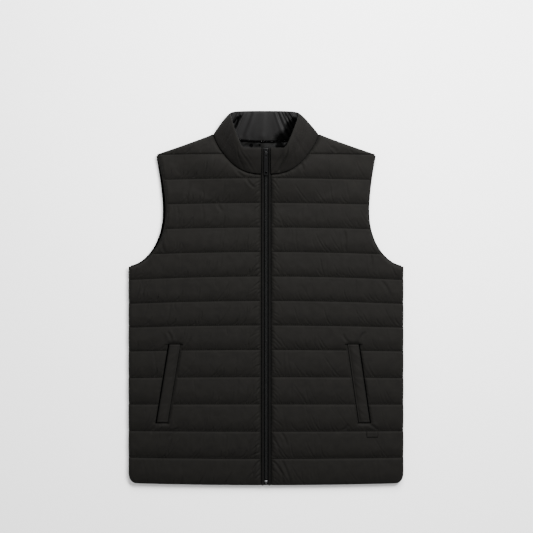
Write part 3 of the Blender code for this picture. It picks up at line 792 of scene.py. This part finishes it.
def pocket_welt(side, tree):
    """Padded strip on the pocket's edge, in the slit that it closes, with its stitches."""
    us = (0, 0.02, 0.06, 0.11, 0.15, 0.2, 0.35, 0.5, 0.65, 0.8, 0.9, 0.96, 1.0)
    top_at = (0.0, 0.75, 1.05, 0.75, 1.15, 1.75, 2.3, 2.5, 2.5, 2.4, 2.2, 1.6, 0.5)
    ends = (0, 0.006, 0.015, 0.026, 0.036)
    vs = list(ends) + list(np.linspace(0.06, 0.94, 60)) + [1 - v for v in ends[::-1]]
    ground = FRONT_BASE + SEAM_THICKNESS - 1.2 * MM
    outer, inner = [], []
    for v in vs:
        end = min(v, 1 - v) * (WELT_HIGH_H - WELT_LOW_H)
        rise = float(smooth(end / (3 * MM))) * 0.7 + 0.3
        if 3.2 * MM < end < 6.0 * MM:  # the row of stitches across each end
            rise *= 0.8
        top, low = [], []
        for u, height in zip(us, top_at):
            x, h = welt_point(side, u, v)
            share = float(channel_share(row_height(x, h)))
            swell = 1 + 0.2 * float(puff(share)) + 0.3 * noise.noise(Vector(((x + h) * 160, h * 60, 5)))
            z = ground + 2.6 * MM + 1.25 * height * MM * swell * rise
            top.append(place(SIGN[side] * x, h, z))
            low.append(place(SIGN[side] * x, h, ground))
        outer.append(top)
        inner.append(low)
    welt = wall(f"pocket_welt_{side}_cloth", outer, inner, SHELL)
    finer = welt.modifiers.new("finer", "SUBSURF")
    finer.levels = finer.render_levels = 1
    ride(welt, "shell", f"pocket_welt_{side}")
    pocket_slit_shade(side, tree)
    pocket_stitches(side, tree)


def pocket_slit_shade(side, tree):
    """Black sheet of painted shade in the opening that shows all round the welt, widest along its outer edge.
    """
    corners = [np.array(p) for p in welt_box(side)]
    centre = sum(corners) / 4
    left, low, right, high = -0.7 * MM, -0.8 * MM, 2.2 * MM, 0.8 * MM  # how far past the welt it shows
    spread = [np.array(p) for p in ((left, low), (right, low), (right, high), (left, high))]
    outer, inner = [], []
    for i in range(4):
        j = (i + 1) % 4
        for t in np.linspace(0, 1, (8, 46)[i % 2], endpoint=False):
            near = mix(corners[i], corners[j], t)
            row = [mix(near, centre, 0.05), near, near + mix(spread[i], spread[j], t)]
            row = [on_cloth(tree, SIGN[side] * x, h - LENGTH / 2, 0.5 * MM) for x, h in row]
            outer.append(row)
            inner.append([(x, y, z - 0.9 * MM) for x, y, z in row])
    outer.append(outer[0])
    inner.append(inner[0])
    ride(wall(f"pocket_slit_shade_{side}", outer, inner, DARK), "trim")


def pocket_stitches(side, tree):
    """Stitches up the welt beside its inner edge, and across the cloth at both of its ends."""
    up = [welt_point(side, 0.13, v) for v in np.linspace(0, 1, 60)]
    lines = [[place(SIGN[side] * x, h, FRONT_BASE + SEAM_THICKNESS + 2.05 * MM) for x, h in up]]
    for v, start, stop in ((-0.003, -0.15, 1.1), (1.003, -0.25, 1.4)):
        across = [welt_point(side, u, v) for u in np.linspace(start, stop, 24)]
        lines.append([on_cloth(tree, SIGN[side] * x, h - LENGTH / 2, 0.7 * MM) for x, h in across])
    sew(f"pocket_stitches_{side}", lines, pitch=2.6 * MM, length=1.9 * MM)


def hem_label(tree):
    """Blank tab that hangs on the cloth below a stitch line, with stitches round it."""
    middle, width, length = 208.6 * MM, 21.8 * MM, 11 * MM
    top = STITCHES[2] - 1.5 * MM
    outer, inner = [], []
    for i in range(13):
        h = mix(top - length, top, i / 12)
        row, low = [], []
        for k in range(13):
            x = middle + (k / 12 - 0.5) * width
            x, y, z = on_cloth(tree, x, h - droop(h, x) - LENGTH / 2, 0.3 * MM)
            row.append((x, y, z + 0.7 * MM))
            low.append((x, y, z))
        outer.append(row)
        inner.append(low)
    label = wall("hem_label_cloth", outer, inner, SHELL)
    ride(label, "shell", "hem_label")
    edge = [row[0] for row in outer[::-1]] + outer[0][1:-1] + [row[-1] for row in outer]
    sew("label_stitches", [edge], pitch=2.0 * MM, length=1.8 * MM, width=0.8 * MM)


# ---------------------------------------------------------------- collar and neck

# One half of the collar, from the zip round to the middle of the back, in millimetres.
COLLAR_FEET_X = (9.7, 30, 52, 71, 86, 96.5)
COLLAR_TOPS = ((9.7, 660.5, 38), (28, 660, 41), (42, 661, 44), (49, 674, 44), (55, 694, 39), (60.5, 713, 31))
FOLD_FEET = ((101.2, 687.2, 11.8), (102.4, 688.3, 8), (98.5, 689.6, 4.4))
FOLD_TOPS = ((64.8, 726.5, 21.5), (65.3, 730, 12), (60, 733.2, 5))
BACK_FEET_X = (80, 43, 0)
BACK_TOPS = ((49, 734.8, 4.2), (26, 735.4, 4.2), (0, 735.4, 4.2))
# How far out each half's top is pulled from there.
COLLAR_ASKEW = {
    "left": (0, -1, -5, -4, -1.5, 0, 0, 0, 0, 0, 0, 0),
    "right": (0, 1, 3, 4, 5.5, 6.2, 6, 6, 6.5, 7, 3, 0),
}
# Upright folds of the collar's lining: distance from the back's middle, lean, width and depth, in millimetres.
COLLAR_FOLDS = (
    (-32, -8, 3.0, 1.0), (-50, -7, 1.8, 2.8), (-59, -4, 2.2, 3.2),
    (32, 8, 4.0, 0.6), (51, 6, 1.8, 3.0), (57, 4, 2.0, 3.2),
)
# Folds of its outside, for each half: distance from the zip at the top and at the foot, width and depth.
COLLAR_CREASES = {
    "left": ((46, 14, 2.4, 2.6), (34, 2, 2.4, 1.0), (70, 64, 3.4, 0.7), (58, 40, 2.8, 0.6)),
    "right": ((50, 14, 3.0, 0.7), (38, 8, 2.6, 0.3), (62, 32, 3.0, 0.6), (86, 83, 3.4, 0.5)),
}
# Hollows that light doesn't reach, where the lining gets painted shade: x, height and reach of each, in
# millimetres.
COLLAR_HOLLOWS = [(36, 677, 23), (44, 692, 14), (48, 707, 12), (56, 718, 8)]
COLLAR_HOLLOWS += [(mix(-50, -62, t / 10), mix(726, 702, t / 10), 3) for t in range(11)]
COLLAR_HOLLOWS += [(mix(-56, -65, t / 5), mix(724, 712, t / 5), 2.5) for t in range(6)]
# Spots of painted shade on the neck lining: x, height and reach of each, in millimetres.
NECK_HOLLOWS = ((27, 666, 11), (-12.6, 668, 3), (-29, 668, 5))
COLLAR_HEIGHT = 60 * MM
COLLAR_WALL = 7 * MM
COLLAR_SEAM_GAP = 0.8 * MM
COLLAR_STEPS = 14  # points between two stations
COLLAR_ROWS = 44


def darken(obj, hollows):
    """Painted shade: darker, less shiny copies of the cloth in steps towards the middle of each hollow."""
    for step in PAINTED_SHADES:
        obj.data.materials.append(step)
    for face in obj.data.polygons:
        spot = face.center / MM + Vector((0, LENGTH / MM / 2, 0))
        depth = max(1 - math.hypot(spot.x - x, spot.y - h) / reach for x, h, reach in hollows)
        face.material_index = min(len(PAINTED_SHADES), max(0, math.ceil(depth * 9)))


def collar_stations():
    """Points along the collar's sewn edge and its top edge, from one side of the zip round to the other."""
    feet = []
    for x in COLLAR_FEET_X:
        x = x * MM
        h = float(neck_front_h(x))
        slope = 2.75 * (NECK_POINT_H - NECK_FRONT_H) / NECK_POINT_HALF * (x / NECK_POINT_HALF) ** 1.75
        off = Vector((-slope, 1)).normalized() * COLLAR_SEAM_GAP
        z = FRONT_BASE + float(lift(x, h)) + COLLAR_WALL / 2
        feet.append(Vector((max(x + off.x, FRONT_INNER), h + off.y, z)))
    feet += [Vector(p) * MM for p in FOLD_FEET]
    for x in BACK_FEET_X:
        feet.append(Vector((x * MM, float(neck_back_h(x * MM)) + COLLAR_SEAM_GAP, 3.6 * MM)))
    mirror = Vector((-1, 1, 1))
    feet += [p * mirror for p in feet[-2::-1]]
    tops = {}
    for side, askew in COLLAR_ASKEW.items():
        even = zip(COLLAR_TOPS + FOLD_TOPS + BACK_TOPS, askew)
        tops[side] = [Vector((x + by, h, z)) * MM for (x, h, z), by in even]
    return feet, tops["left"] + [p * mirror for p in tops["right"][-2::-1]]


def through(points, steps):
    """Smooth line through points, with that many steps between each two."""
    p = [points[0]] + list(points) + [points[-1]]
    line = []
    for i in range(1, len(p) - 2):
        for k in range(steps):
            t = k / steps
            a, b, c, d = p[i - 1 : i + 3]
            square, cube = 2 * a - 5 * b + 4 * c - d, 3 * b - a - 3 * c + d
            line.append(0.5 * (2 * b + (c - a) * t + square * t**2 + cube * t**3))
    line.append(points[-1])
    return line


def collar_grid():
    """Points and outward normals of the collar's middle surface, as arrays of rows."""
    feet, tops = (np.array([tuple(p) for p in through(line, COLLAR_STEPS)]) for line in collar_stations())
    vs = np.linspace(0, 1, COLLAR_ROWS)
    grid = feet[None] * (1 - vs[:, None, None]) + tops[None] * vs[:, None, None]
    grid[:, :, 1] -= LENGTH / 2
    around = np.gradient(grid, axis=1)
    up = np.gradient(grid, axis=0)
    normal = np.cross(around, up)
    normal /= np.linalg.norm(normal, axis=2)[:, :, None]
    return grid, normal, vs


def dent(off):
    """Section of a fold, with a ridge on each side of its groove. off is in widths from its middle."""
    return np.exp(-((np.abs(off) - 1.8) ** 2)), np.exp(-(off**2))


def collar():
    grid, normal, vs = collar_grid()
    arc = np.concatenate([[0], np.cumsum(np.linalg.norm(np.diff(grid[COLLAR_ROWS // 2], axis=0), axis=1))])
    s, v = np.meshgrid(arc, vs * COLLAR_HEIGHT)
    vs = vs[:, None]
    end_fade = np.clip(np.minimum(arc, arc[-1] - arc) / (8 * MM), 0, 1)[None, :]
    swell = np.maximum(1 - np.abs(2 * vs - 1) ** 3, 0) ** 0.7

    def wavy(across, along, seed):
        return waves(s.ravel(), v.ravel(), across * MM, along * MM, seed).reshape(s.shape)

    collar_outside(grid, normal, vs, s, swell, end_fade, wavy)
    collar_inside(grid, normal, vs, s, swell, end_fade, wavy)
    middle = len(arc) // 2
    reach = 3 * COLLAR_STEPS
    seam = (grid[0] - normal[0] * 4.4 * MM)[middle - reach : middle + reach] - np.array([0, 2.4 * MM, 0])
    seam[:, 2] = np.maximum(seam[:, 2], 13 * MM)
    # A continuous near-black line 3 mm wide: the seam's stitches and painted shade along the seam.
    sew("neck_seam", [seam], pitch=2.4 * MM, length=2.38 * MM, width=3.0 * MM)


def collar_outside(grid, normal, vs, s, swell, end_fade, wavy):
    """Padded outside of the collar, turned over at the top edge."""
    near_seam = np.clip(1 - vs / 0.35, 0, 1)
    soft = 0.5 * wavy(11, 40, 21) * near_seam + 0.25 * wavy(60, 13, 31) * (1 - near_seam)
    soft += 0.8 * wavy(45, 30, 35)
    soft = soft * MM * end_fade * np.clip(vs / 0.06, 0, 1)
    for side, ranks in COLLAR_CREASES.items():
        from_zip = s if side == "left" else s[0, -1] - s
        for top, foot, width, deep in ranks:
            ridge, groove = dent((from_zip - mix(foot, top, vs**1.4) * MM) / (width * MM))
            soft += deep * MM * (0.5 * ridge - groove) * smooth(vs / 0.15) * smooth((1.0 - vs) / 0.3)
    front = grid[:, :, 2] > 9 * MM
    out = 2.2 * MM + (2.4 * MM * swell + soft) * np.where(front, 1, 0.35)
    count = s.shape[1]
    station = np.minimum(np.arange(count), count - 1 - np.arange(count)) / COLLAR_STEPS
    out *= 1 - 0.5 * np.exp(-(((station - 7.2) / 1.5) ** 2))[None, :]  # thinner where it folds back
    outer = grid + normal * out[:, :, None]
    outer[:, :, 2] = np.maximum(outer[:, :, 2], 0.0)
    inner = grid - normal * 1.3 * MM
    roll = []
    for angle in (30, 70, 110, 150):
        a = math.radians(angle)
        middle = (outer[-1] + inner[-1]) / 2
        half = (outer[-1] - inner[-1]) / 2
        up = grid[-1] - grid[-2]
        up = up / np.linalg.norm(up, axis=1)[:, None] * 1.4 * MM
        roll.append((middle + half * math.cos(a) + up * math.sin(a)).tolist())
    shell = wall("collar_outer_cloth", outer.tolist() + roll[:2], inner.tolist() + roll[:1:-1], COLLAR)
    ride(shell, "shell", "collar_outer")


def collar_inside(grid, normal, vs, s, swell, end_fade, wavy):
    """Collar's lining, with its upright folds."""
    depth = (0.8 * wavy(10, 70, 41) * np.clip(1 - vs / 0.4, 0.25, 1) + 0.45 * wavy(26, 55, 45)) * MM
    from_back = s - s[0, -1] / 2
    for middle, lean, width, deep in COLLAR_FOLDS:
        ridge, groove = dent((from_back - (middle + lean * (1 - vs)) * MM) / (width * MM))
        depth += deep * MM * (ridge - groove)
    depth *= np.clip(vs / 0.15, 0, 1) * end_fade * np.clip((1 - vs) / 0.05, 0, 1)
    depth = np.maximum(depth, -1.6 * MM)
    face = grid - normal * (3.4 * MM + 0.8 * MM * swell + depth)[:, :, None]
    back = grid - normal * 1.5 * MM
    lining = wall("collar_inner_cloth", face.tolist(), back.tolist(), LINING)
    darken(lining, COLLAR_HOLLOWS)
    ride(lining, "lining", "collar_inner")


def neck_lining():
    """Lining on the back's inside, in the open neck. Its wrinkles fade out at the collar."""
    low, half = 606 * MM, 84 * MM
    rows, columns = 40, 90
    outer, inner = [], []
    for i in range(rows):
        row, under = [], []
        for k in range(columns):
            x = mix(-half, half, k / (columns - 1))
            h = mix(low, float(neck_back_h(x)) - 0.7 * MM, i / (rows - 1))
            wrinkle = noise.noise(Vector(((x - h) / (9 * MM), h / (24 * MM), 3))) * 1.6 * MM
            wrinkle += noise.noise(Vector((x / (30 * MM), h / (12 * MM), 8))) * 1.2 * MM
            z = BACK_THICKNESS + GAP + 1.3 * MM + wrinkle * min(1, (rows - 1 - i) / 5 + 0.2)
            row.append(place(x, h, max(z, BACK_THICKNESS + 0.5 * MM)))
            under.append(place(x, h, BACK_THICKNESS + 0.1 * MM))
        outer.append(row)
        inner.append(under)
    lining = wall("neck_lining_cloth", outer, inner, YOKE)
    darken(lining, NECK_HOLLOWS)
    ride(lining, "lining", "neck_lining")


# ---------------------------------------------------------------- zip


def zip_floor(h):
    """Height of the fronts' edges that the zip lies on."""
    return FRONT_BASE + float(lift(0, min(h, NECK_FRONT_H))) + max(h - NECK_FRONT_H, 0) * COLLAR_SLOPE


def zip_strip(name, xs, tops, bottom, low, high, step, ripple, material_used):
    """Strip up the zip. tops and bottom are heights above the floor that the zip lies on."""
    outer, inner = [], []
    for h in np.linspace(low, high, max(2, round((high - low) / step))):
        floor = zip_floor(h)
        top, under = [], []
        for x, up in zip(xs, tops):
            wave = ripple * noise.noise(Vector((x * 120, h / (9 * MM), xs[0] * 1000)))
            top.append(place(x + wave * 0.4, h, floor + up * MM + wave))
            under.append(place(x, h, floor + bottom * MM))
        outer.append(top)
        inner.append(under)
    return wall(name, outer, inner, material_used)


TAPE_XS = (0.3, 1.6, 3.2, 5.4, 9.3)
BAND_XS = (4.8, 5.1, 5.8, 6.6, 7.3, 8.0, 8.5, 8.9)
BAND_TOPS = (2.2, 3.6, 4.9, 5.4, 5.3, 4.7, 3.6, 2.4)


def zip_seam(name, x, rise, low, high, **sizes):
    line = [place(x, h, zip_floor(h) + rise) for h in np.arange(low, high, 3 * MM)]
    sew(name, [line], **sizes)


def zipper():
    for side, sign in SIGN.items():
        xs = [sign * x * MM for x in TAPE_XS]
        step, ripple = 2.5 * MM, 0.15 * MM
        name = f"zip_tape_{side}"
        tops = [1.6] * len(xs)
        tape = zip_strip(name + "_cloth", xs, tops, 0.5, 2 * MM, BAND_TOP_H + MM, step, ripple, TAPE)
        ride(tape, "tape", name)
        xs = [sign * x * MM for x in BAND_XS]
        step, ripple = 1.8 * MM, 0.5 * MM
        name = f"front_band_{side}"
        band = zip_strip(name + "_cloth", xs, BAND_TOPS, 1.7, 0.0, BAND_TOP_H, step, ripple, BAND)
        ride(band, "trim", name)
        zip_seam(f"front_seam_{side}", sign * 9.5 * MM, 2.0 * MM, MM, BAND_TOP_H, width=0.7 * MM)
    coil()


# Section along one of the coil's elements: x, height above the zip's floor and radius, in millimetres.
ELEMENT = ((-0.7, 3.1, 0.12), (-0.5, 3.2, 0.42), (1.4, 3.5, 0.42), (2.7, 2.9, 0.42), (3.1, 2.2, 0.3))
COIL_PITCH = 1.35 * MM
COIL_SIDES = 6
COIL_LOW, COIL_HIGH = 12 * MM, 645 * MM


def coil():
    """Coil of the zip: an element from each side in turn, crossing the middle."""
    verts, faces = [], []
    for i in range(int((COIL_HIGH - COIL_LOW) / COIL_PITCH)):
        for sign, shift in ((1, 0), (-1, 0.5)):
            h = COIL_LOW + (i + shift) * COIL_PITCH
            floor = zip_floor(h)
            base = len(verts)
            for x, rise, r in ELEMENT:
                for k in range(COIL_SIDES):
                    a = 2 * math.pi * k / COIL_SIDES
                    y = h - LENGTH / 2 + r * MM * math.cos(a)
                    verts.append((sign * x * MM, y, floor + rise * MM + r * MM * math.sin(a)))
            for start in range(base, base + COIL_SIDES * (len(ELEMENT) - 1), COIL_SIDES):
                for k in range(COIL_SIDES):
                    a, b = start + k, start + (k + 1) % COIL_SIDES
                    faces.append((a, b, b + COIL_SIDES, a + COIL_SIDES)[::sign])
            faces.append(tuple(range(base, base + COIL_SIDES))[::-sign])
            faces.append(tuple(range(len(verts) - COIL_SIDES, len(verts)))[::sign])
    ride(mesh_object("zip_coil_elements", verts, faces, COIL), "coil", "zip_chain")
    for side, sign in SIGN.items():
        sizes = {"pitch": 2.4 * MM, "length": 1.9 * MM}
        zip_seam(f"zip_stitches_{side}", sign * 3.9 * MM, 1.75 * MM, COIL_LOW, COIL_HIGH, **sizes)


PIVOT_H = 653 * MM
PIVOT_RISE = 7.3 * MM
SLIDER_TOP = 5.6 * MM
ZIP_TILT = math.atan(COLLAR_SLOPE)


def on_the_slope():
    """From the slider's own axes, about its pivot, to its place on the zip."""
    foot = Matrix.Translation(place(0, PIVOT_H, zip_floor(PIVOT_H)))
    return foot @ Matrix.Rotation(ZIP_TILT, 4, "X") @ Matrix.Translation((0, 0, PIVOT_RISE))


def box_object(name, size, material_used, bevel=0.5, centre=(0, 0, 0), taper=1.0):
    """Box with round edges, in millimetres. taper narrows the end towards the hem."""
    work = bmesh.new()
    bmesh.ops.create_cube(work, size=MM)
    for v in work.verts:
        narrow = taper if v.co.y < 0 else 1.0
        x, y, z = (a * b for a, b in zip(v.co, size))
        v.co = Vector((x * narrow, y, z)) + Vector(centre) * MM
    data = bpy.data.meshes.new(name)
    work.to_mesh(data)
    work.free()
    data.materials.append(material_used)
    data.shade_smooth()
    obj = add_object(name, data)
    rounded = obj.modifiers.new("round_edges", "BEVEL")
    rounded.width = bevel * MM
    rounded.segments = 3
    return obj


def joined(name, objects):
    """One mesh from several, with their modifiers applied, moved to the slider's pivot."""
    bpy.context.view_layer.update()
    graph = bpy.context.evaluated_depsgraph_get()
    work = bmesh.new()
    for obj in objects:
        data = bpy.data.meshes.new_from_object(obj.evaluated_get(graph))
        data.transform(obj.matrix_world)
        work.from_mesh(data)
    data = bpy.data.meshes.new(name)
    work.to_mesh(data)
    work.free()
    data.transform(on_the_slope())
    data.materials.append(objects[0].data.materials[0])
    made = add_object(name, data)
    for obj in objects:
        bpy.data.objects.remove(obj)
    data.shade_smooth()
    data.set_sharp_from_angle(angle=math.radians(40))
    return made


def slider():
    """Two plates joined by a wedge and edged by flanges, and the bridge that the pull turns on."""
    low, top = 2.0 - PIVOT_RISE / MM, (SLIDER_TOP - PIVOT_RISE) / MM
    thick, middle, deep = 1.1, (top + low) / 2, top - low
    parts = [
        box_object("plate", (8.6, 15, thick), BLACK, 0.45, (0, 1.5, top - thick / 2), 0.8),
        box_object("base", (8.6, 15, thick), BLACK, 0.45, (0, 1.5, low + thick / 2), 0.8),
        box_object("wedge", (2.4, 5, deep), BLACK, 0.5, (0, 6.0, middle)),
    ]
    for sign in (-1, 1):
        flange = box_object("flange", (1.0, 13, deep), BLACK, 0.4, (0, 0, middle))
        flange.location = (sign * 3.45 * MM, 1.2 * MM, 0)
        flange.rotation_euler.z = sign * -0.055
        parts.append(flange)
    ride(joined("zip_slider_body", parts), "black_metal", "zip_slider")
    parts = [box_object("bridge", (2.0, 7.6, 1.15), GUNMETAL, centre=(0, 0, 2.1))]
    for y in (-2.9, 2.9):
        parts.append(box_object("leg", (2.0, 1.7, 3.9), GUNMETAL, centre=(0, y, 0.2)))
    ride(joined("zip_slider_bridge", parts), "black_metal")


def ring_points(y, width, height, corner, steps=6):
    """Round-cornered rectangle or circle about (0, y), in millimetres."""
    points = []
    for quarter, (sx, sy) in enumerate(((1, 1), (-1, 1), (-1, -1), (1, -1))):
        middle = Vector((sx * (width / 2 - corner), y + sy * (height / 2 - corner)))
        for i in range(steps + 1):
            angle = math.pi / 2 * (quarter + i / steps)
            points.append(middle + corner * Vector((math.cos(angle), math.sin(angle))))
    return points


def plate(name, outlines, thickness, bevel, raise_by):
    """Flat plate with round edges, in millimetres. The outlines after the first are its holes."""
    curve = bpy.data.curves.new(name, "CURVE")
    curve.dimensions = "2D"
    curve.fill_mode = "BOTH"
    curve.extrude = (thickness / 2 - bevel) * MM
    curve.bevel_depth = bevel * MM
    curve.bevel_resolution = 2
    curve.offset = -bevel * MM
    for points in outlines:
        spline = curve.splines.new("POLY")
        spline.points.add(len(points) - 1)
        for point, p in zip(spline.points, points):
            point.co = (p.x * MM, p.y * MM, 0, 1)
        spline.use_cyclic_u = True
    curve.materials.append(BLACK)
    obj = add_object(name, curve)
    obj.location.z = raise_by * MM
    return obj


def pull():
    """Flat tab with a raised rim, a slot round the slider's bridge and a round hole at its free end."""
    thick, bar, length, raised = 1.5, 0.75, 44, 0.5
    body = ring_points((bar - length) / 2, 8.4, length + bar, 2.0)
    for p in body:
        if p.y > -8:
            p.x *= 0.86
    slot = ring_points(-bar - 2.4, 3.2, 4.8, 0.6, 3)
    hole = ring_points(5 - length, 4.2, 4.2, 2.1)
    panel = ring_points(-20.5, 5.6, 23, 1.2)
    rim = ring_points(5 - length, 6.0, 6.0, 3.0)
    parts = [
        plate("pull_tab", (body, slot, hole), thick, 0.3, 0),
        plate("pull_panel", (panel,), raised, 0.12, thick / 2),
        plate("pull_rim", (rim, hole), raised, 0.12, thick / 2),
    ]
    ride(joined("zip_pull_tab", parts), "black_metal", "zip_pull", body="zip_pull")


def zip_ends():
    """Box and pin at the hem, and the stops at the top."""
    box = box_object("zip_box_metal", (5.4, 3.6, 3), STEEL, 0.7)
    box.location = place(0, 8 * MM, zip_floor(0) + 3.5 * MM)
    ride(box, "steel", "zip_box")
    pin = box_object("zip_pin_metal", (2.6, 3.4, 2), PIN, 0.6)
    pin.location = place(0, 3 * MM, zip_floor(0) + 3 * MM)
    ride(pin, "steel", "zip_pin")
    for side, sign in SIGN.items():
        stop = box_object(f"zip_stop_{side}_end", (1.9, 2.0, 1.8), COIL)
        h = COLLAR_FRONT_H - 0.8 * MM
        stop.location = place(sign * 1.6 * MM, h, zip_floor(h) + 3.2 * MM)
        stop.rotation_euler.x = ZIP_TILT
        ride(stop, "coil", f"zip_stop_{side}")


# ---------------------------------------------------------------- floor, light and camera


FLOOR_HALF = 6
LIGHTS = (("key", (0.82, 0.85, 1.65), 0.8, 84), ("top", (0.12, 1.15, 1.15), 0.9, 56))


def stage():
    """Pale floor, even pale surroundings and two round lights."""
    pale = bpy.data.materials.new("floor_paint")
    pale.use_nodes = True
    shader = pale.node_tree.nodes["Principled BSDF"]
    shader.inputs["Base Color"].default_value = (0.95, 0.95, 0.95, 1)
    shader.inputs["Roughness"].default_value = 0.9
    shader.inputs["Specular IOR Level"].default_value = 0.1
    corners = [(x * FLOOR_HALF, y * FLOOR_HALF, 0) for x, y in ((-1, -1), (1, -1), (1, 1), (-1, 1))]
    floor = mesh_object("floor", corners, [(0, 1, 2, 3)], pale, smooth_shaded=False)
    floor.location.z = -0.2 * MM
    world = bpy.data.worlds.new("studio")
    bpy.context.scene.world = world
    world.use_nodes = True
    world.node_tree.nodes["Background"].inputs["Color"].default_value = (1, 1, 1, 1)
    world.node_tree.nodes["Background"].inputs["Strength"].default_value = 0.80
    for name, spot, size, power in LIGHTS:
        light = bpy.data.lights.new(name, "AREA")
        light.shape = "DISK"
        light.size = size
        light.energy = power
        lamp = add_object(name, light)
        lamp.location = spot
        lamp.rotation_euler = (-Vector(spot)).to_track_quat("-Z", "Y").to_euler()


def camera():
    """Straight above the vest."""
    data = bpy.data.cameras.new("camera")
    data.sensor_width = 36
    data.lens = 102.7
    cam = add_object("camera", data)
    cam.location = (0.9 * MM, 62 * MM, 3.0)
    data.clip_start, data.clip_end = 0.1, 20
    bpy.context.scene.camera = cam


for obj in list(bpy.context.scene.objects):
    if obj.name in ("Cube", "Light", "Camera"):
        bpy.data.objects.remove(obj)

back_panel()
cloth = {}
for each in SIGN:
    cloth[each] = front_panel(each)
    pocket_welt(each, cloth[each])
    armhole_binding(each)
hem_label(cloth["left"])
collar()
neck_lining()
zipper()
slider()
pull()
zip_ends()
stage()
camera()
